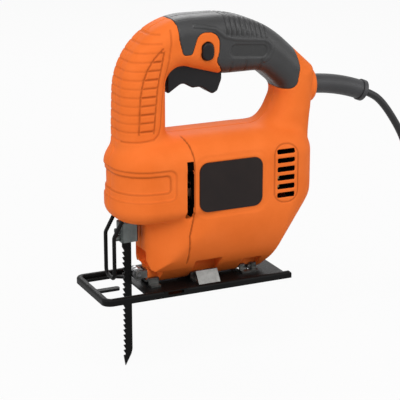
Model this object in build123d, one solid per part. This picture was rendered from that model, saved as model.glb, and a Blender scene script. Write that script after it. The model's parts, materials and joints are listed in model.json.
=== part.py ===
import math
import os

from build123d import *

# Corded jigsaw. Millimetres. The origin is the middle of the shoe's sole.
# +X is the cutting direction, +Y the tool's left side, +Z is up.

# Clearances
RUN_GAP = 0.3
PIVOT_GAP = 0.1
SEAT_GAP = 0.05

# Shoe and bevel pivot
SHOE_FRONT = 75.5
SHOE_REAR = -80.0
SHOE_WIDTH = 64.5
SHOE_THICKNESS = 2.0
RAIL_HEIGHT = 5.2
RAIL_WIDTH = 4.6
RAIL_ROUND = 1.9
SHOE_CORNER = 7.0
WINDOW_REAR = 38.0
WINDOW_HALF = 24.5
FRONT_BAR = 5.0
CENTRE_BAR_HALF = 2.5
CENTRE_BAR_REAR = 51.0
FENCE_SLOT_WIDTH = 13.0
FENCE_SLOT_HEIGHT = 2.6
FENCE_SLOT_X = 18.0
FENCE_STRAP = 0.6
BEVEL_AXIS_Z = 11.0
KEEL_RADIUS = 6.2
SADDLE_SHEET = 1.5
SADDLE_ANGLE = 62.0
FRONT_SADDLE = (22.0, 30.0)
MIDDLE_SADDLE = (-25.0, -5.0)
REAR_SADDLE = (-61.0, -47.0)
SADDLE_FOOT = 13.0
KEEL_SPAN = (-62.0, 30.0)
SKIRT_RADIUS = 8.4
WING_ROOF = (22.4, 20.4)
NECK_HALF = 5.0
WING_TOP = (13.5, 11.0)
WING_FOOT_Y = 20.0
WING_SPAN = (-24.0, -6.0)
BEVEL_SLOT_ANGLE = 52.0
SHOE_SCREW_X = (-15.0, -54.0)
SHOE_SCREW_RADIUS = 2.0
SHOE_SCREW_HEAD = 3.5
SHOE_SCREW_HEAD_HEIGHT = 2.3
SHOE_SCREW_LENGTH = 12.0

# Housing
BODY_HALF = 33.0
BODY_TOP = 119.0
NOSE_FRONT = 58.4
NOSE_HALF = BODY_HALF - 3.0
NOSE_ROUND = 27.0
NOSE_UNDER = 55.5
NOSE_LOWER_ROUND = 12.0
NOSE_BANDS = ((17.0, 74.8, 98.2, 5.0, 0.9), (21.3, 80.9, 94.3, 3.0, 1.9))
REAR_END = -104.5
REAR_ROUND = 26.0
SHOULDER_ROUND = 22.0
BELLY_TOP = 62.0
BELLY_LOW = 16.0
TAIL_TOP = 64.0
TAIL_SLOPE = 0.66
SNOUT_FRONT = 33.5
SNOUT_HALF = 13.5
SNOUT_ROUND = 12.5
SEAM_X = 5.0
HANDLE_HALF = 19.5
HANDLE_ROUND = 13.0
HANDLE_TOP = 207.0
GRIP_DEPTH = 2.2
BOSS_RADIUS = 14.0
BOSS_END = (-110.5, 144.7)
BOSS_TILT = 2.0

# Drive line
MOTOR_Z = 78.0
GEAR_MODULE = 0.8
PINION_TEETH = 9
GEAR_TEETH = 44
GEAR_BACKLASH = 0.16
PRESSURE_ANGLE = math.radians(20.0)
GEAR_SPAN = (19.6, 26.4)
PINION_SPAN = (19.0, 27.0)
PROFILE_SHIFT = 0.3
ADDENDUM = 0.9
CRANK_THROW = 7.0
CRANK_PIN_RADIUS = 2.5
ROLLER_RADIUS = 4.5
ROLLER_SPAN = (29.5, 36.5)
LOST_MOTION = 1.25
PLUNGER_X = 43.5
PLUNGER_RADIUS = 4.0
PLUNGER_TOP = 146.0
STROKE = 16.0
YOKE_SPAN = (29.0, 37.0)
YOKE_WALL = 3.0
YOKE_BRIDGE = 4.0
LOWER_BUSH = (62.0, 74.0)
UPPER_BUSH = (125.0, 136.0)
BUSH_RADIUS = 6.5
SHAFT_RADIUS = 4.0
SHAFT_REAR = -87.0
STATOR_SPAN = (-48.0, -8.0)
STATOR_HALF = BODY_HALF - 5.0
STATOR_BORE = 16.6
ARMATURE_RADIUS = 16.0
ARMATURE_SLOTS = 12
FAN_SPAN = (1.0, 9.5)
FAN_RADIUS = BODY_HALF - 8.0
FAN_BLADES = 11
COMMUTATOR_SPAN = (-72.0, -58.0)
COMMUTATOR_RADIUS = 11.0
COMMUTATOR_BARS = 24
FRONT_BEARING = (11.4, 17.6)
FRONT_BEARING_RADIUS = 11.0
REAR_BEARING = (-86.0, -80.0)
REAR_BEARING_RADIUS = 9.5
BOOT_WALL = 2.4
PLATE_SPAN = (11.0, 18.0)

# Blade, clamp and blade guide
CLAMP_SPAN = (37.2, 50.6)
CLAMP_HALF = 6.0
CLAMP_Z = (38.5, 53.5)
CLAMP_BORE_Z = 48.0
CLAMP_SCREW_RADIUS = 2.4
CLAMP_SCREW_Z = (41.2, 46.6)
CLAMP_SCREW_HEAD = 3.0
BLADE_BACK = 41.0
BLADE_WIDTH = 7.2
BLADE_THICKNESS = 1.2
BLADE_TIP = -63.0
TOOTH_PITCH = 4.2
TOOTH_DEPTH = 1.9
GUIDE_GROOVE_RADIUS = 4.2
GUIDE_FLANGE = 0.7
GUIDE_ROLLER_HALF = 3.4
GUIDE_PIN_RADIUS = 1.5
GUIDE_CHEEK = 1.6
GUARD_WIRE_RADIUS = 1.5
GUARD_HALF = 8.6
GUARD_X = 58.0
GUARD_FOOT_Z = 11.5
GUARD_BEND_Z = 44.5
GUARD_ROOT = (48.0, 62.6)

# Controls
TRIGGER_HALF = 8.0
TRIGGER_PIVOT = (7.5, 176.0)
TRIGGER_PIN_RADIUS = 2.5
BUTTON_X = -13.9
BUTTON_Z = 181.5
BUTTON_HALF_WIDTH = 4.6
BUTTON_HEIGHT = 13.5
BUTTON_PROUD = 2.4
SWITCH_SPAN = (-38.0, 2.0)
SWITCH_HALF = 9.0
SWITCH_Z = (171.0, 192.0)

# Side openings and plate
PLATE_X = (-53.3, -1.4)
PLATE_Z = (63.0, 101.0)
PLATE_DEPTH = 1.0
VENT_X = (-81.0, -66.0)
VENT_Z = (65.0, 105.6)
VENT_COUNT = 6
VENT_HEIGHT = 3.4
OUTLET_X = (3.5, 8.3)
OUTLET_Z = (58.5, 95.5)

# Housing screws, entered from the right side
SCREW_PLACES = ((26.0, 146.0), (30.0, 186.0), (-52.0, 168.0), (-94.0, 128.0), (-64.0, 34.0),
                (-26.0, 34.0), (12.0, 34.0))
SCREW_RADIUS = 2.0
SCREW_HEAD = 3.8
SCREW_SEAT_Y = -6.0
SCREW_HEAD_HEIGHT = 2.6
SCREW_TIP_Y = 12.0

# Cord
CORD_RADIUS = 3.0
CLAMP_STRIP_X = (-95.0, -89.0)
CORD_TAIL = 25.0
RELIEF_RADIUS = 7.6
RELIEF_COLLAR = 8.5
RELIEF_BEND = 140.0
RELIEF_TURN = 20.0
CORD_ROUTE_TAIL = ((-174.5, 0.0, 125.6), (-184.1, 0.0, 114.1), (-196.1, 0.0, 95.6), (-206.0, -1.0, 72.5),
                   (-212.5, -4.0, 48.0), (-217.5, -9.0, 23.5), (-223.5, -16.0, -0.5), (-234.0, -24.5, -20.5),
                   (-248.5, -33.0, -34.0), (-265.0, -39.65, -39.1), (-283.0, -39.65, -39.1))
CORD_LEAD = 9.0
FLOOR_Z = BLADE_TIP - 0.5
COIL_TURNS = 1.75
COIL_LAYERS = 4
COIL_MEAN = 33.0
COIL_PITCH = 7.6
COIL_RISE = 6.6
COIL_FLOOR = 1.6
COIL_SIDES = 6
COIL_TAIL = 26.0
TIE_SHEET = 1.2
TIE_WIDTH = 12.0
PLUG_LENGTH = 34.0
PLUG_WIDTH = 26.0
PLUG_HEIGHT = 14.0
PLUG_PIN_RADIUS = 2.0
PLUG_PIN_GAP = 18.6
PLUG_PIN_LENGTH = 19.0

GEAR_Z = MOTOR_Z + GEAR_MODULE * (PINION_TEETH + GEAR_TEETH) / 2
HALF_STROKE = STROKE / 2
SADDLE_INNER = KEEL_RADIUS + RUN_GAP
SADDLE_OUTER = SADDLE_INNER + SADDLE_SHEET
FAR = 300.0


def rounded(corners):
    """A closed face from (u, v, radius) corners, joined by lines and tangent arcs."""
    count = len(corners)
    bends = []
    for i in range(count):
        point = Vector(*corners[i][:2])
        back = (Vector(*corners[i - 1][:2]) - point).normalized()
        ahead = (Vector(*corners[(i + 1) % count][:2]) - point).normalized()
        radius = corners[i][2]
        half = math.radians(back.get_angle(ahead)) / 2
        reach = radius / math.tan(half)
        middle = point + (back + ahead).normalized() * (radius / math.sin(half) - radius)
        bends.append((point + back * reach, middle, point + ahead * reach, radius))
    edges = []
    for i in range(count):
        start, middle, end, radius = bends[i]
        if radius:
            edges.append(ThreePointArc(start, middle, end))
        following = bends[(i + 1) % count][0]
        if (following - end).length > 0.001:
            edges.append(Line(end, following))
    return make_face(edges)


def prism_x(face, start, end):
    return Pos(start, 0, 0) * extrude(Plane.YZ * face, end - start, dir=(1, 0, 0))


def prism_y(face, start, end):
    return Pos(0, end, 0) * extrude(Plane.XZ * face, end - start, dir=(0, -1, 0))


def prism_z(face, start, end):
    return Pos(0, 0, start) * extrude(face, end - start, dir=(0, 0, 1))


def rod_x(start, end, radius, y=0.0, z=0.0):
    return Pos((start + end) / 2, y, z) * Rot(0, 90, 0) * Cylinder(radius, end - start)


def rod_y(start, end, radius, x=0.0, z=0.0):
    return Pos(x, (start + end) / 2, z) * Rot(90, 0, 0) * Cylinder(radius, end - start)


def rod_z(start, end, radius, x=0.0, y=0.0):
    return Pos(x, y, (start + end) / 2) * Cylinder(radius, end - start)


def block(x, y, z):
    """A box from its (low, high) pairs."""
    size = [high - low for low, high in (x, y, z)]
    middle = [(high + low) / 2 for low, high in (x, y, z)]
    return Pos(*middle) * Box(*size)


def group(solids):
    return Compound(children=[s for shape in solids for s in shape.solids()])


# Housing forms


def upper_body():
    """Motor and gear housing above the belly, rounded all round its top edge."""
    side = [(NOSE_FRONT, NOSE_HALF, NOSE_ROUND), (5, BODY_HALF, 60), (REAR_END, BODY_HALF, REAR_ROUND)]
    plan = rounded(side + [(x, -y, r) for x, y, r in reversed(side)])
    form = prism_z(plan, NOSE_UNDER, BODY_TOP)
    form = fillet(form.edges().group_by(Axis.Z)[-1], SHOULDER_ROUND)
    return fillet(form.edges().group_by(Axis.Z)[0], NOSE_LOWER_ROUND)


def flank(y):
    """Height of the 45 degree flank, which clears the shoe at full tilt."""
    return BEVEL_AXIS_Z - SKIRT_RADIUS * math.sqrt(2) + y


def belly_section():
    """Cross-section of the lower body: bowed sides running into a V with a blunt foot."""
    low = flank(BELLY_LOW)
    drop = BELLY_TOP - low
    inset = BODY_HALF - BELLY_LOW
    bow = (inset ** 2 + drop ** 2) / (2 * inset)
    half_turn = math.asin(drop / bow) / 2
    middle = (BODY_HALF - bow + bow * math.cos(half_turn), BELLY_TOP - bow * math.sin(half_turn))
    top = BELLY_TOP + NOSE_LOWER_ROUND
    foot = [(SKIRT_RADIUS * math.sin(a), BEVEL_AXIS_Z - SKIRT_RADIUS * math.cos(a))
            for a in (0, math.pi / 8, math.pi / 4)]
    right = [Line(foot[0], foot[1]), Line(foot[1], foot[2]), Line(foot[2], (BELLY_LOW, low)),
             ThreePointArc((BELLY_LOW, low), middle, (BODY_HALF, BELLY_TOP)),
             Line((BODY_HALF, BELLY_TOP), (BODY_HALF, top)), Line((BODY_HALF, top), (0, top)),
             Line((0, top), foot[0])]
    half = make_face(right)
    return half + mirror(half, Plane.YZ)


def lower_body():
    """Belly and the wedge-shaped snout behind the blade."""
    side = [(SNOUT_FRONT, SNOUT_HALF, SNOUT_ROUND), (SEAM_X, BODY_HALF - 3.5, 3), (-20, BODY_HALF, 3),
            (REAR_END, BODY_HALF, REAR_ROUND)]
    plan = rounded(side + [(x, -y, r) for x, y, r in reversed(side)])
    top = BELLY_TOP + NOSE_LOWER_ROUND
    return prism_z(plan, 0, top) & prism_x(belly_section(), -FAR, FAR)


def tail_form():
    """Rear limit of the body: upright above, running forward below, with the same round corners."""
    side = [(FAR, BODY_HALF, 0), (REAR_END, BODY_HALF, REAR_ROUND)]
    plan = rounded(side + [(x, -y, r) for x, y, r in reversed(side)])
    upright = prism_z(plan, TAIL_TOP, 250)
    slant = math.hypot(1, TAIL_SLOPE)
    sloping = extrude(Pos(0, 0, TAIL_TOP) * plan, TAIL_TOP * slant, dir=(TAIL_SLOPE / slant, 0,
                                                                         -1 / slant))
    return upright + sloping


def body_profile():
    """Side view limits: foot of the keel and undercut mouth of the snout."""
    low = BEVEL_AXIS_Z - SKIRT_RADIUS
    return prism_y(rounded([(-FAR, 250, 0), (-FAR, low, 0), (25.5, low, 2), (35.0, 28.5, 0),
                            (35.0, 50, 0), (80, 50, 0),
                            (80, 250, 0)]), -FAR, FAR)


def handle_outline():
    outer = rounded([(52.5, 85, 0), (52.5, 119, 0), (49.5, HANDLE_TOP, 56), (-57, HANDLE_TOP - 0.5, 88),
                     (-108, 160.5, 6), (-102.5, 85, 0)])
    hole = rounded([(16, BODY_TOP - 1, 6), (16, 174, 13), (-29, 161.5, 40), (-62, 161.5, 18),
                    (-81.5, 145, 10),
                    (-69, BODY_TOP - 1, 24)])
    return outer - hole


def handle_form(inset):
    """Closed D-handle, with its skin taken in by inset."""
    outline = handle_outline()
    if inset:
        outline = offset(outline, -inset)
    half = HANDLE_HALF - inset
    form = prism_y(outline, -half, half)
    rims = form.edges().group_by(Axis.Y)
    return fillet(rims[0] + rims[-1], HANDLE_ROUND - inset)


def relief_plane():
    """Plane at the mouth of the cord boss, its normal pointing back along the cord."""
    tilt = math.radians(BOSS_TILT)
    return Plane(origin=(BOSS_END[0], 0, BOSS_END[1]), x_dir=(0, 1, 0), z_dir=(-math.cos(tilt), 0,
                                                                               -math.sin(tilt)))


def cord_boss():
    boss = relief_plane() * Pos(0, 0, -10) * Cylinder(BOSS_RADIUS, 20)
    return fillet(boss.edges().sort_by(Axis.X)[0], 3)


def grip_outline():
    """Side view of the soft grip: front tongue, arch over the button lobe, rear apron."""
    return rounded([(10, HANDLE_TOP + 10, 0), (8.2, 190, 8), (5.2, 179.6, 3.2), (-1.6, 179.6, 2.6),
                    (-7.0, 195.6, 7.5), (-24.6, 195.6, 9.5), (-23.6, 181, 8), (-21.6, 173.5, 4),
                    (-27.5, 165, 3),
                    (-27.5, 135, 0), (-58, 135, 0), (-58, 149.5, 0), (-72, 145.8, 16),
                    (-88.5, 146.5, 7),
                    (-91.5, 163, 8), (-89.5, 176, 0), (-89.5, HANDLE_TOP + 10, 0)])


def grip_skin(handle):
    """The layer of the handle that is soft grip."""
    skin = prism_y(grip_outline(), -FAR, FAR) & (handle - handle_form(GRIP_DEPTH))
    return skin - trigger_room()[0]


def notch_core(span):
    """Pivot keel and its neck, which every saddle notch leaves standing."""
    neck = block(span, (-NECK_HALF, NECK_HALF), (BEVEL_AXIS_Z, 4 * BEVEL_AXIS_Z))
    return rod_x(*KEEL_SPAN, KEEL_RADIUS, z=BEVEL_AXIS_Z) + neck


def saddle_notch(span):
    """Room in the keel for a plain saddle and its feet as the shoe tilts."""
    wide = (span[0] - 1, span[1] + 1)
    reach = SADDLE_FOOT + 3.0
    return block(wide, (-reach, reach), (0, BEVEL_AXIS_Z + 5.0)) - notch_core(wide)


def wing_notch(span):
    """Room in the keel for the middle saddle's wings as the shoe tilts."""
    wide = (span[0] - 1, span[1] + 1)
    inner, outer = WING_ROOF
    reach = WING_FOOT_Y + 4
    roof = Polygon((-reach, 0), (reach, 0), (reach, outer), (10.4, inner), (-10.4, inner),
                   (-reach, outer), align=None)
    return prism_x(roof, *wide) - notch_core(wide)


def mouth():
    """Pocket in the slanted front of the snout."""
    return block((SNOUT_FRONT - 9, SNOUT_FRONT + 5), (-SNOUT_HALF + 4.5, SNOUT_HALF - 4.5),
                 (BEVEL_AXIS_Z + 6.6, 30))


def stator_outline(gap=0.0):
    half = STATOR_HALF + gap
    tall = STATOR_HALF - 1.5 + gap
    return Pos(0, MOTOR_Z) * RectangleRounded(2 * half, 2 * tall, 17 + gap)


def plate_outline(gap=0.0):
    """Bearing plate: carries the front motor bearing and the gear axle."""
    low = MOTOR_Z - 18 - gap
    high = GEAR_Z + 13 + gap
    return Pos(0, (low + high) / 2) * RectangleRounded(48 + 2 * gap, high - low, 10)


def button_outline(gap=0.0):
    return Pos(BUTTON_X, BUTTON_Z) * Rot(0, 0, 90) * SlotOverall(BUTTON_HEIGHT + 2 * gap,
                                                                 2 * (BUTTON_HALF_WIDTH + gap))


def plate_face(gap=0.0):
    middle = ((PLATE_X[0] + PLATE_X[1]) / 2, (PLATE_Z[0] + PLATE_Z[1]) / 2)
    size = (PLATE_X[1] - PLATE_X[0] + 2 * gap, PLATE_Z[1] - PLATE_Z[0] + 2 * gap)
    return Pos(*middle) * RectangleRounded(*size, 7)


def inner_room():
    """Everything taken out of the housing for the motor, gears, plunger, switch and leads."""
    bay_rear = REAR_BEARING[1]
    fan_rear = FAN_SPAN[0] - 1.5
    throw = HALF_STROKE + 1
    yoke_half = yoke_half_width() + 1
    yoke_rise = yoke_half_height() + throw
    yoke_x = (GEAR_SPAN[1] + 2.5, PLUNGER_X - 2)
    clamp_top = CLAMP_Z[1] + throw
    return [
        prism_x(stator_outline(RUN_GAP), bay_rear, fan_rear),
        rod_x(fan_rear, PLATE_SPAN[0], FAN_RADIUS + 2.5, z=MOTOR_Z),
        prism_x(plate_outline(SEAT_GAP), PLATE_SPAN[0] - SEAT_GAP, PLATE_SPAN[1] + SEAT_GAP),
        rod_x(PLATE_SPAN[1], yoke_x[0], GEAR_MODULE * (GEAR_TEETH + 2) / 2 + 1.2, z=GEAR_Z),
        rod_x(PLATE_SPAN[1], yoke_x[0], 13, z=MOTOR_Z),
        block(yoke_x, (-yoke_half, yoke_half), (GEAR_Z - yoke_rise, GEAR_Z + yoke_rise)),
        rod_z(NOSE_UNDER, PLUNGER_TOP + throw + 2, PLUNGER_RADIUS + 1.2, x=PLUNGER_X),
        rod_z(*LOWER_BUSH, BUSH_RADIUS + SEAT_GAP, x=PLUNGER_X),
        rod_z(*UPPER_BUSH, BUSH_RADIUS + SEAT_GAP, x=PLUNGER_X),
        block((CLAMP_SPAN[0] - 1.5, CLAMP_SPAN[1] + 1), (-CLAMP_HALF - 1, CLAMP_HALF + 1),
              (NOSE_UNDER - 4, clamp_top)),
        block((CLAMP_SPAN[1], CLAMP_SPAN[1] + CLAMP_SCREW_HEAD + 1), (-CLAMP_SCREW_RADIUS - 1,
                                                                      CLAMP_SCREW_RADIUS + 1),
              (NOSE_UNDER - 4, CLAMP_SCREW_Z[1] + CLAMP_SCREW_RADIUS + throw)),
        rod_x(REAR_BEARING[0] - 1.2, REAR_BEARING[1], boot_radius() + SEAT_GAP, z=MOTOR_Z),
        block((SWITCH_SPAN[0] - RUN_GAP, SWITCH_SPAN[1] + RUN_GAP), (-SWITCH_HALF - RUN_GAP, SWITCH_HALF
                                                                     + RUN_GAP),
              (SWITCH_Z[0] - 2, SWITCH_Z[1] + RUN_GAP)),
        prism_y(rounded([(-37, 174, 0), (-37, 189, 0), (-60, 187, 4), (-97, 154, 4), (-97, 138, 4),
                         (-86, 138, 4),
                         (-84, 150, 6), (-62, 171, 6)]), -5.5, 5.5),
        prism_y(rounded([(-64.7, MOTOR_Z + 20, 0), (-72.7, MOTOR_Z + 20, 0), (-93.1, 142, 0),
                         (-85.1, 142, 0)]), -4, 4),
    ]


def trigger_room():
    side = TRIGGER_HALF + RUN_GAP
    room = block((-33.9, 14.2), (-side, side), (150, SWITCH_Z[0] + 6))
    room = room + block((SWITCH_SPAN[1] + RUN_GAP, 14.2), (-side, side),
                        (150, TRIGGER_PIVOT[1] + TRIGGER_PIN_RADIUS + 2.2))
    pins = rod_y(-TRIGGER_HALF - 3, TRIGGER_HALF + 3, TRIGGER_PIN_RADIUS + PIVOT_GAP, *TRIGGER_PIVOT)
    return [room, pins]


def button_room():
    flange = prism_y(button_outline(1.3), SWITCH_HALF, 14.0)
    return [flange, prism_y(button_outline(RUN_GAP), 13.9, HANDLE_HALF + 5)]


def air_openings(side):
    """Inlet slots at the rear and the fan outlet, on one side of the body."""
    cuts = []
    pitch = (VENT_Z[1] - VENT_Z[0]) / VENT_COUNT
    for i in range(VENT_COUNT):
        level = VENT_Z[0] + pitch * (i + 0.5)
        cuts.append(block(VENT_X, sorted((side * 18, side * 40)), (level - VENT_HEIGHT / 2,
                                                                   level + VENT_HEIGHT / 2)))
    low, high = sorted((side * 17, side * 40))
    cuts.append(block(OUTLET_X, (low, high), OUTLET_Z))
    return cuts


def screw_holes():
    return [rod_y(SCREW_SEAT_Y, SCREW_TIP_Y + 0.5, SCREW_RADIUS + SEAT_GAP, x, z) for x,
            z in SCREW_PLACES]


def screw_wells():
    return [rod_y(-40, SCREW_SEAT_Y, SCREW_HEAD + RUN_GAP, x, z) for x, z in SCREW_PLACES]


def nose_band(rear, low, high, radius, depth):
    """Band let into the sides and front of the nose, open to the front."""
    band = prism_y(rounded([(rear, low, radius), (rear, high, radius), (70, high, 0), (70, low, 0)]),
                   -FAR, FAR)
    side = [(NOSE_FRONT, NOSE_HALF, NOSE_ROUND), (5, BODY_HALF, 60), (REAR_END, BODY_HALF, REAR_ROUND)]
    plan = rounded(side + [(x, -y, r) for x, y, r in reversed(side)])
    return band - prism_z(offset(plan, -depth), low - 5, high + 5)


def nose_panel():
    """Two stepped bands round the nose."""
    return [nose_band(*band) for band in NOSE_BANDS]


def housing_form():
    """Outside of the whole shell with the soft grip still part of it."""
    body = (upper_body() + lower_body()) & body_profile() & tail_form()
    return body + handle_form(0) + cord_boss() + rod_x(*KEEL_SPAN, KEEL_RADIUS, z=BEVEL_AXIS_Z)


def left_side():
    return block((-FAR, FAR), (0, FAR), (-FAR, FAR))


def right_side():
    return block((-FAR, FAR), (-FAR, 0), (-FAR, FAR))


def shared_cuts():
    """Cuts that both halves of the shell have."""
    cuts = [saddle_notch(FRONT_SADDLE), wing_notch(MIDDLE_SADDLE), saddle_notch(REAR_SADDLE), mouth()]
    cuts += nose_panel() + inner_room() + trigger_room() + relief_room() + shoe_screw_rods(SEAT_GAP)
    return cuts + [wire(GUARD_WIRE_RADIUS + SEAT_GAP), guide_stem(SEAT_GAP)] + cord_clamp_rods(SEAT_GAP)


def left_housing(form, skin):
    half = (form & left_side()) - (skin & left_side())
    for cut in shared_cuts() + air_openings(1) + screw_holes() + button_room():
        half = half - cut
    return half - prism_y(plate_face(), BODY_HALF - PLATE_DEPTH, BODY_HALF + 5)


def right_housing(form, skin):
    half = (form & right_side()) - (skin & right_side())
    for cut in shared_cuts() + air_openings(-1) + screw_holes() + screw_wells():
        half = half - cut
    return half


def right_grip(skin):
    half = skin & right_side()
    for well in screw_wells():
        half = half - well
    return half


def housing_screws():
    screws = []
    for x, z in SCREW_PLACES:
        head = rod_y(SCREW_SEAT_Y - SCREW_HEAD_HEIGHT, SCREW_SEAT_Y, SCREW_HEAD, x, z)
        screws.append(head + rod_y(SCREW_SEAT_Y, SCREW_TIP_Y, SCREW_RADIUS, x, z))
    return group(screws)


def side_plate():
    return prism_y(plate_face(-SEAT_GAP), BODY_HALF - PLATE_DEPTH, BODY_HALF + 0.2)


# Motor


def ring_x(start, end, outer, inner, z=MOTOR_Z):
    return rod_x(start, end, outer, z=z) - rod_x(start - 1, end + 1, inner, z=z)


def coil_sector(inner, outer, start, end, low, high):
    """Part of a ring around the motor axis between two angles, in degrees."""
    arcs = []
    first, last = math.radians(low), math.radians(high)
    half = (first + last) / 2
    spot = [(r * math.cos(a), MOTOR_Z + r * math.sin(a)) for r in (inner, outer) for a in (first, half,
                                                                                           last)]
    arcs.append(ThreePointArc(spot[0], spot[1], spot[2]))
    arcs.append(Line(spot[2], spot[5]))
    arcs.append(ThreePointArc(spot[5], spot[4], spot[3]))
    arcs.append(Line(spot[3], spot[0]))
    return prism_x(make_face(arcs), start, end)


def stator_core():
    core = prism_x(stator_outline(), *STATOR_SPAN) - rod_x(*STATOR_SPAN, STATOR_BORE, z=MOTOR_Z)
    for low in (35, 215):
        core = core - coil_sector(STATOR_BORE - 1, STATOR_HALF - 4.2, *STATOR_SPAN, low, low + 110)
    return core


def field_coils():
    start, end = STATOR_SPAN[0] - 7, STATOR_SPAN[1] + 4
    return group([coil_sector(STATOR_BORE + 1, STATOR_HALF - 4.4, start, end, low + 1, low + 109)
                  for low in (35, 215)])


def armature_core():
    start, end = STATOR_SPAN[0] + 1, STATOR_SPAN[1] - 1
    core = ring_x(start, end, ARMATURE_RADIUS, SHAFT_RADIUS + SEAT_GAP)
    slot = block((start - 1, end + 1), (ARMATURE_RADIUS - 7, ARMATURE_RADIUS + 1), (-1.2, 1.2))
    for i in range(ARMATURE_SLOTS):
        core = core - Pos(0, 0, MOTOR_Z) * Rot(360 * i / ARMATURE_SLOTS, 0, 0) * slot
    return core


def armature_windings():
    front = (STATOR_SPAN[1] - 1, STATOR_SPAN[1] + 4)
    rear = (STATOR_SPAN[0] - 5, STATOR_SPAN[0] + 1)
    return group([ring_x(*span, ARMATURE_RADIUS - 1.5, SHAFT_RADIUS + SEAT_GAP)
                  for span in (front, rear)])


def commutator():
    drum = ring_x(*COMMUTATOR_SPAN, COMMUTATOR_RADIUS, SHAFT_RADIUS + SEAT_GAP)
    gap = block((COMMUTATOR_SPAN[0] - 1, COMMUTATOR_SPAN[1] - 2), (COMMUTATOR_RADIUS - 1,
                                                                   COMMUTATOR_RADIUS + 1), (-0.3, 0.3))
    for i in range(COMMUTATOR_BARS):
        drum = drum - Pos(0, 0, MOTOR_Z) * Rot(360 * i / COMMUTATOR_BARS, 0, 0) * gap
    return drum


def armature_shaft():
    return rod_x(SHAFT_REAR, PINION_SPAN[0], SHAFT_RADIUS, z=MOTOR_Z) + rod_x(*PINION_SPAN,
                                                                              pinion_bore(), z=MOTOR_Z)


def fan():
    hub = ring_x(FAN_SPAN[0], FAN_SPAN[1], 8, SHAFT_RADIUS + SEAT_GAP)
    disc = ring_x(FAN_SPAN[1] - 2, FAN_SPAN[1], FAN_RADIUS, SHAFT_RADIUS + SEAT_GAP)
    wheel = hub + disc
    blade = block((FAN_SPAN[0], FAN_SPAN[1] - 1), (11, FAN_RADIUS - 0.4), (-0.8, 0.8))
    for i in range(FAN_BLADES):
        wheel = wheel + Pos(0, 0, MOTOR_Z) * Rot(360 * i / FAN_BLADES, 0, 0) * Pos(0, 0, 4) * blade
    return wheel


def bearing(span, outer):
    return ring_x(*span, outer, SHAFT_RADIUS + SEAT_GAP)


def boot_radius():
    return REAR_BEARING_RADIUS + SEAT_GAP + BOOT_WALL


def bearing_boot():
    return ring_x(REAR_BEARING[0] - 0.6, REAR_BEARING[1], boot_radius(), REAR_BEARING_RADIUS + SEAT_GAP)


def bearing_plate():
    plate = prism_x(plate_outline(), *PLATE_SPAN) - rod_x(*FRONT_BEARING, FRONT_BEARING_RADIUS
                                                          + SEAT_GAP, z=MOTOR_Z)
    plate = plate - rod_x(PLATE_SPAN[0] - 1, PLATE_SPAN[1] + 1, SHAFT_RADIUS + 2, z=MOTOR_Z)
    return plate - rod_x(FRONT_BEARING[0], PLATE_SPAN[1] + 1, SHAFT_RADIUS + SEAT_GAP, z=GEAR_Z)


def brush_box(side, gap):
    """Brush channel in its holder, grown by gap."""
    low, high = sorted((side * (COMMUTATOR_RADIUS + 0.25 - gap), side * (COMMUTATOR_RADIUS + 13)))
    middle = sum(COMMUTATOR_SPAN) / 2
    return block((middle - 3 - gap, middle + 3 + gap), (low, high), (MOTOR_Z - 4 - gap, MOTOR_Z + 4
                                                                     + gap))


def brush_holders():
    holders = []
    middle = sum(COMMUTATOR_SPAN) / 2
    for side in (1, -1):
        low, high = sorted((side * (COMMUTATOR_RADIUS + 2.5), side * STATOR_HALF))
        box = block((middle - 5, middle + 5), (low, high), (MOTOR_Z - 6, MOTOR_Z + 6))
        holders.append(box - brush_box(side, SEAT_GAP))
    return group(holders)


def carbon_brushes():
    return group([brush_box(side, 0) for side in (1, -1)])


# Gears and plunger


def toothed_face(teeth, shift, phase):
    """Gear outline with involute flanks, one tooth centred on the phase angle."""
    pitch_radius = GEAR_MODULE * teeth / 2
    base = pitch_radius * math.cos(PRESSURE_ANGLE)
    tip = pitch_radius + GEAR_MODULE * (ADDENDUM + shift)
    root = pitch_radius - GEAR_MODULE * (1.25 - shift)
    start = max(base, root + 0.1)
    spread = math.tan(PRESSURE_ANGLE) - PRESSURE_ANGLE
    half = (math.pi / 2 + 2 * shift * math.tan(PRESSURE_ANGLE)) / teeth - GEAR_BACKLASH / 2 / pitch_radius
    flank = []
    for radius in (start, (start + tip) / 2, tip):
        roll = math.acos(min(1.0, base / radius))
        flank.append((radius, half + spread - (math.tan(roll) - roll)))
    side = [(root, flank[0][1] + 0.01)] + flank
    points = []
    for i in range(teeth):
        middle = phase + 2 * math.pi * i / teeth
        for radius, angle in side:
            points.append((radius, middle - angle))
        for radius, angle in reversed(side):
            points.append((radius, middle + angle))
    return Polygon(*[(r * math.cos(a), r * math.sin(a)) for r, a in points], align=None)


def pinion_bore():
    return GEAR_MODULE * (PINION_TEETH / 2 - 1.25 + PROFILE_SHIFT) - 0.9


def pinion():
    face = toothed_face(PINION_TEETH, PROFILE_SHIFT, math.pi / 2) - Circle(pinion_bore() + SEAT_GAP)
    return Pos(0, 0, MOTOR_Z) * prism_x(face, *PINION_SPAN)


def drive_gear():
    phase = -math.pi / 2 + math.pi / GEAR_TEETH
    face = toothed_face(GEAR_TEETH, -PROFILE_SHIFT, phase) - Circle(SHAFT_RADIUS + SEAT_GAP)
    face = face - Pos(CRANK_THROW, 0) * Circle(CRANK_PIN_RADIUS + SEAT_GAP)
    gear = prism_x(face, *GEAR_SPAN)
    web = prism_x(Circle(14.2) - Circle(10.4), GEAR_SPAN[1] - 2, GEAR_SPAN[1])
    return Pos(0, 0, GEAR_Z) * (gear - web)


def gear_axle():
    return rod_x(FRONT_BEARING[0], GEAR_SPAN[1], SHAFT_RADIUS, z=GEAR_Z)


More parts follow.
